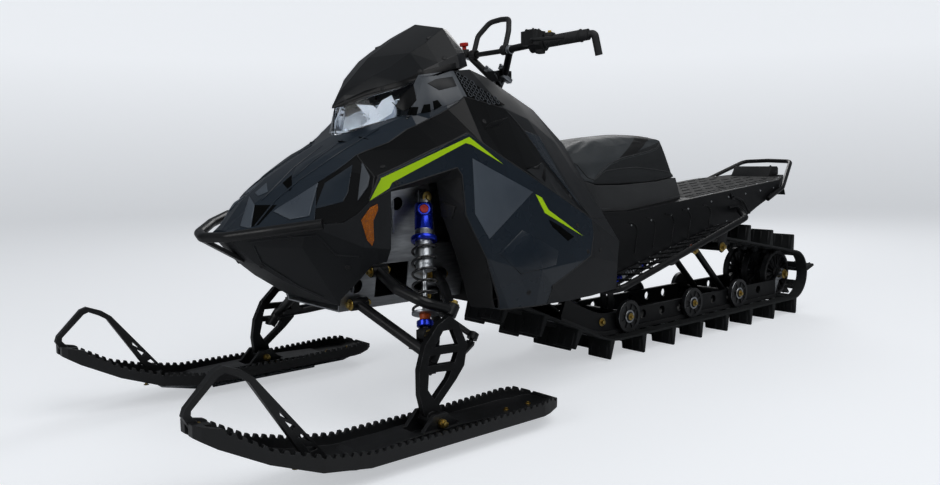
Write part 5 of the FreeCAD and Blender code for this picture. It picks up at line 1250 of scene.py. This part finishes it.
sewing = {"pipingMm": 1.7, "stitchMm": 7.5, "insetMm": 5.0, "baseStitches": 70}
piping, stitches = bmesh.new(), bmesh.new()
for side in (-1, 1):
    for seam in (seatSeam, skirtSeam):
        addTube(piping, [place + normal * 0.3 for place, normal in sewAlong(seam, 14.0, side)], sewing["pipingMm"], 8)
    laid = sewAlong(seatSeam[4:], sewing["stitchMm"], side)
    for (a, normal), (b, _) in zip(laid, laid[1:]):
        way = (b - a).normalized()
        drop = normal.cross(way) * sewing["insetMm"] * -side
        turn = Matrix((way, normal.cross(way), normal)).transposed().to_4x4()
        addBox(stitches, (a + b) / 2.0 + drop + normal * 0.5, (5.0, 1.5, 1.3), turn, 0.4, 1)
    for i in range(sewing["baseStitches"]):
        x = 20.0 - i * 8.0
        z = (tunnelTop(x) if x < -200 else 516.0 + (x + 200.0) / 730.3 * 20.0) + 11.0
        half = 178.0 - max(0.0, (-49 - x)) / 420.0 * 17.0 + (0.0 if x < -49 else (x + 49) * -0.23)
        addBox(stitches, (x, side * (half - 0.6), z), (5.2, 1.4, 1.4), turned("Y", 0.07), 0.4, 1)
finishPiece(piping, "seatPiping", "darkVinyl")
finishPiece(stitches, "seatStitches", "stitchThread")
print("seat")


# Stage

def makeStage():
    # a pale sweep: a floor that turns up into a wall far behind, lit softly from above
    sweep = {"floorRadius": 9.0, "turnRadius": 4.0, "wallTop": 9.0, "glow": 0.58, "glowHigh": 0.86, "glowTop": 2.4}
    radius, turn = sweep["floorRadius"], sweep["turnRadius"]
    angles = [math.pi / 2.0 * i / 12 for i in range(1, 13)]
    bm = bmesh.new()
    addLathe(bm, (0, 0, 0), (0, 0, 1),
             [(0.0, 0.0), (0.0, radius), *[(turn * (1 - math.cos(a)), radius + turn * math.sin(a)) for a in angles],
              (sweep["wallTop"], radius + turn)], 96)
    bmesh.ops.recalc_face_normals(bm, faces=bm.faces)
    floor = addMesh(bm, "floor")
    floor.location.z = -0.0005
    pale = bpy.data.materials.new("studioFloor")
    pale.use_nodes = True
    tree = pale.node_tree
    surface = tree.nodes["Principled BSDF"].inputs
    for socket, value in {"Base Color": linear("#d2d4d7"), "Roughness": 0.75, "Specular IOR Level": 0.1,
                          "Emission Color": linear("#e9ecf0")}.items():
        surface[socket].default_value = value
    # the wall glows a little more with its height, for the camera only
    seen = addNode(tree, "ShaderNodeLightPath").outputs["Is Camera Ray"]
    spot = addNode(tree, "ShaderNodeTexCoord").outputs["Object"]
    height = addNode(tree, "ShaderNodeSeparateXYZ", {0: spot}).outputs["Z"]
    glow = addNode(tree, "ShaderNodeMapRange", {"Value": height, "From Min": 0.0, "From Max": sweep["glowTop"],
                                                "To Min": sweep["glow"], "To Max": sweep["glowHigh"]}).outputs[0]
    share = addNode(tree, "ShaderNodeMath", {0: seen, 1: glow}, operation="MULTIPLY").outputs[0]
    tree.links.new(share, surface["Emission Strength"])
    floor.data.materials.append(pale)
    world = bpy.data.worlds.new("studio")
    bpy.context.scene.world = world
    world.use_nodes = True
    sky = world.node_tree.nodes["Background"].inputs
    sky["Color"].default_value = linear("#dfe3e8")
    sky["Strength"].default_value = 0.24
    for name, place, target, size, power in (
            ("keyLight", (0.2, 3.2, 4.8), (0.0, 0.0, 0.3), 4.4, 125.0),
            ("frontLight", (5.4, 0.6, 2.6), (0.4, 0.0, 0.4), 2.2, 52.0),
            ("rimLight", (-3.8, -3.2, 3.4), (0.0, 0.0, 0.4), 2.4, 60.0)):
        light = bpy.data.lights.new(name, "AREA")
        light.size = size
        light.energy = power
        lamp = bpy.data.objects.new(name, light)
        lamp.matrix_world = Matrix.Translation(place) @ aim(Vector(place) - Vector(target))
        bpy.context.scene.collection.objects.link(lamp)


makeStage()
view = {"heading": 229.767, "down": 5.974, "roll": -0.851, "lens": 32.0}     # degrees; the lens on a 36 mm frame
camera = bpy.data.objects.new("camera", bpy.data.cameras.new("camera"))
camera.data.lens = view["lens"]
camera.matrix_world = (Matrix.Translation(cameraPlace / 1000.0) @ turned("Z", math.radians(view["heading"] - 90.0)) @
                       turned("X", math.radians(90.0 - view["down"])) @ turned("Z", math.radians(view["roll"])))
bpy.context.scene.collection.objects.link(camera)
bpy.context.scene.camera = camera
bpy.context.scene.view_settings.view_transform = "Standard"
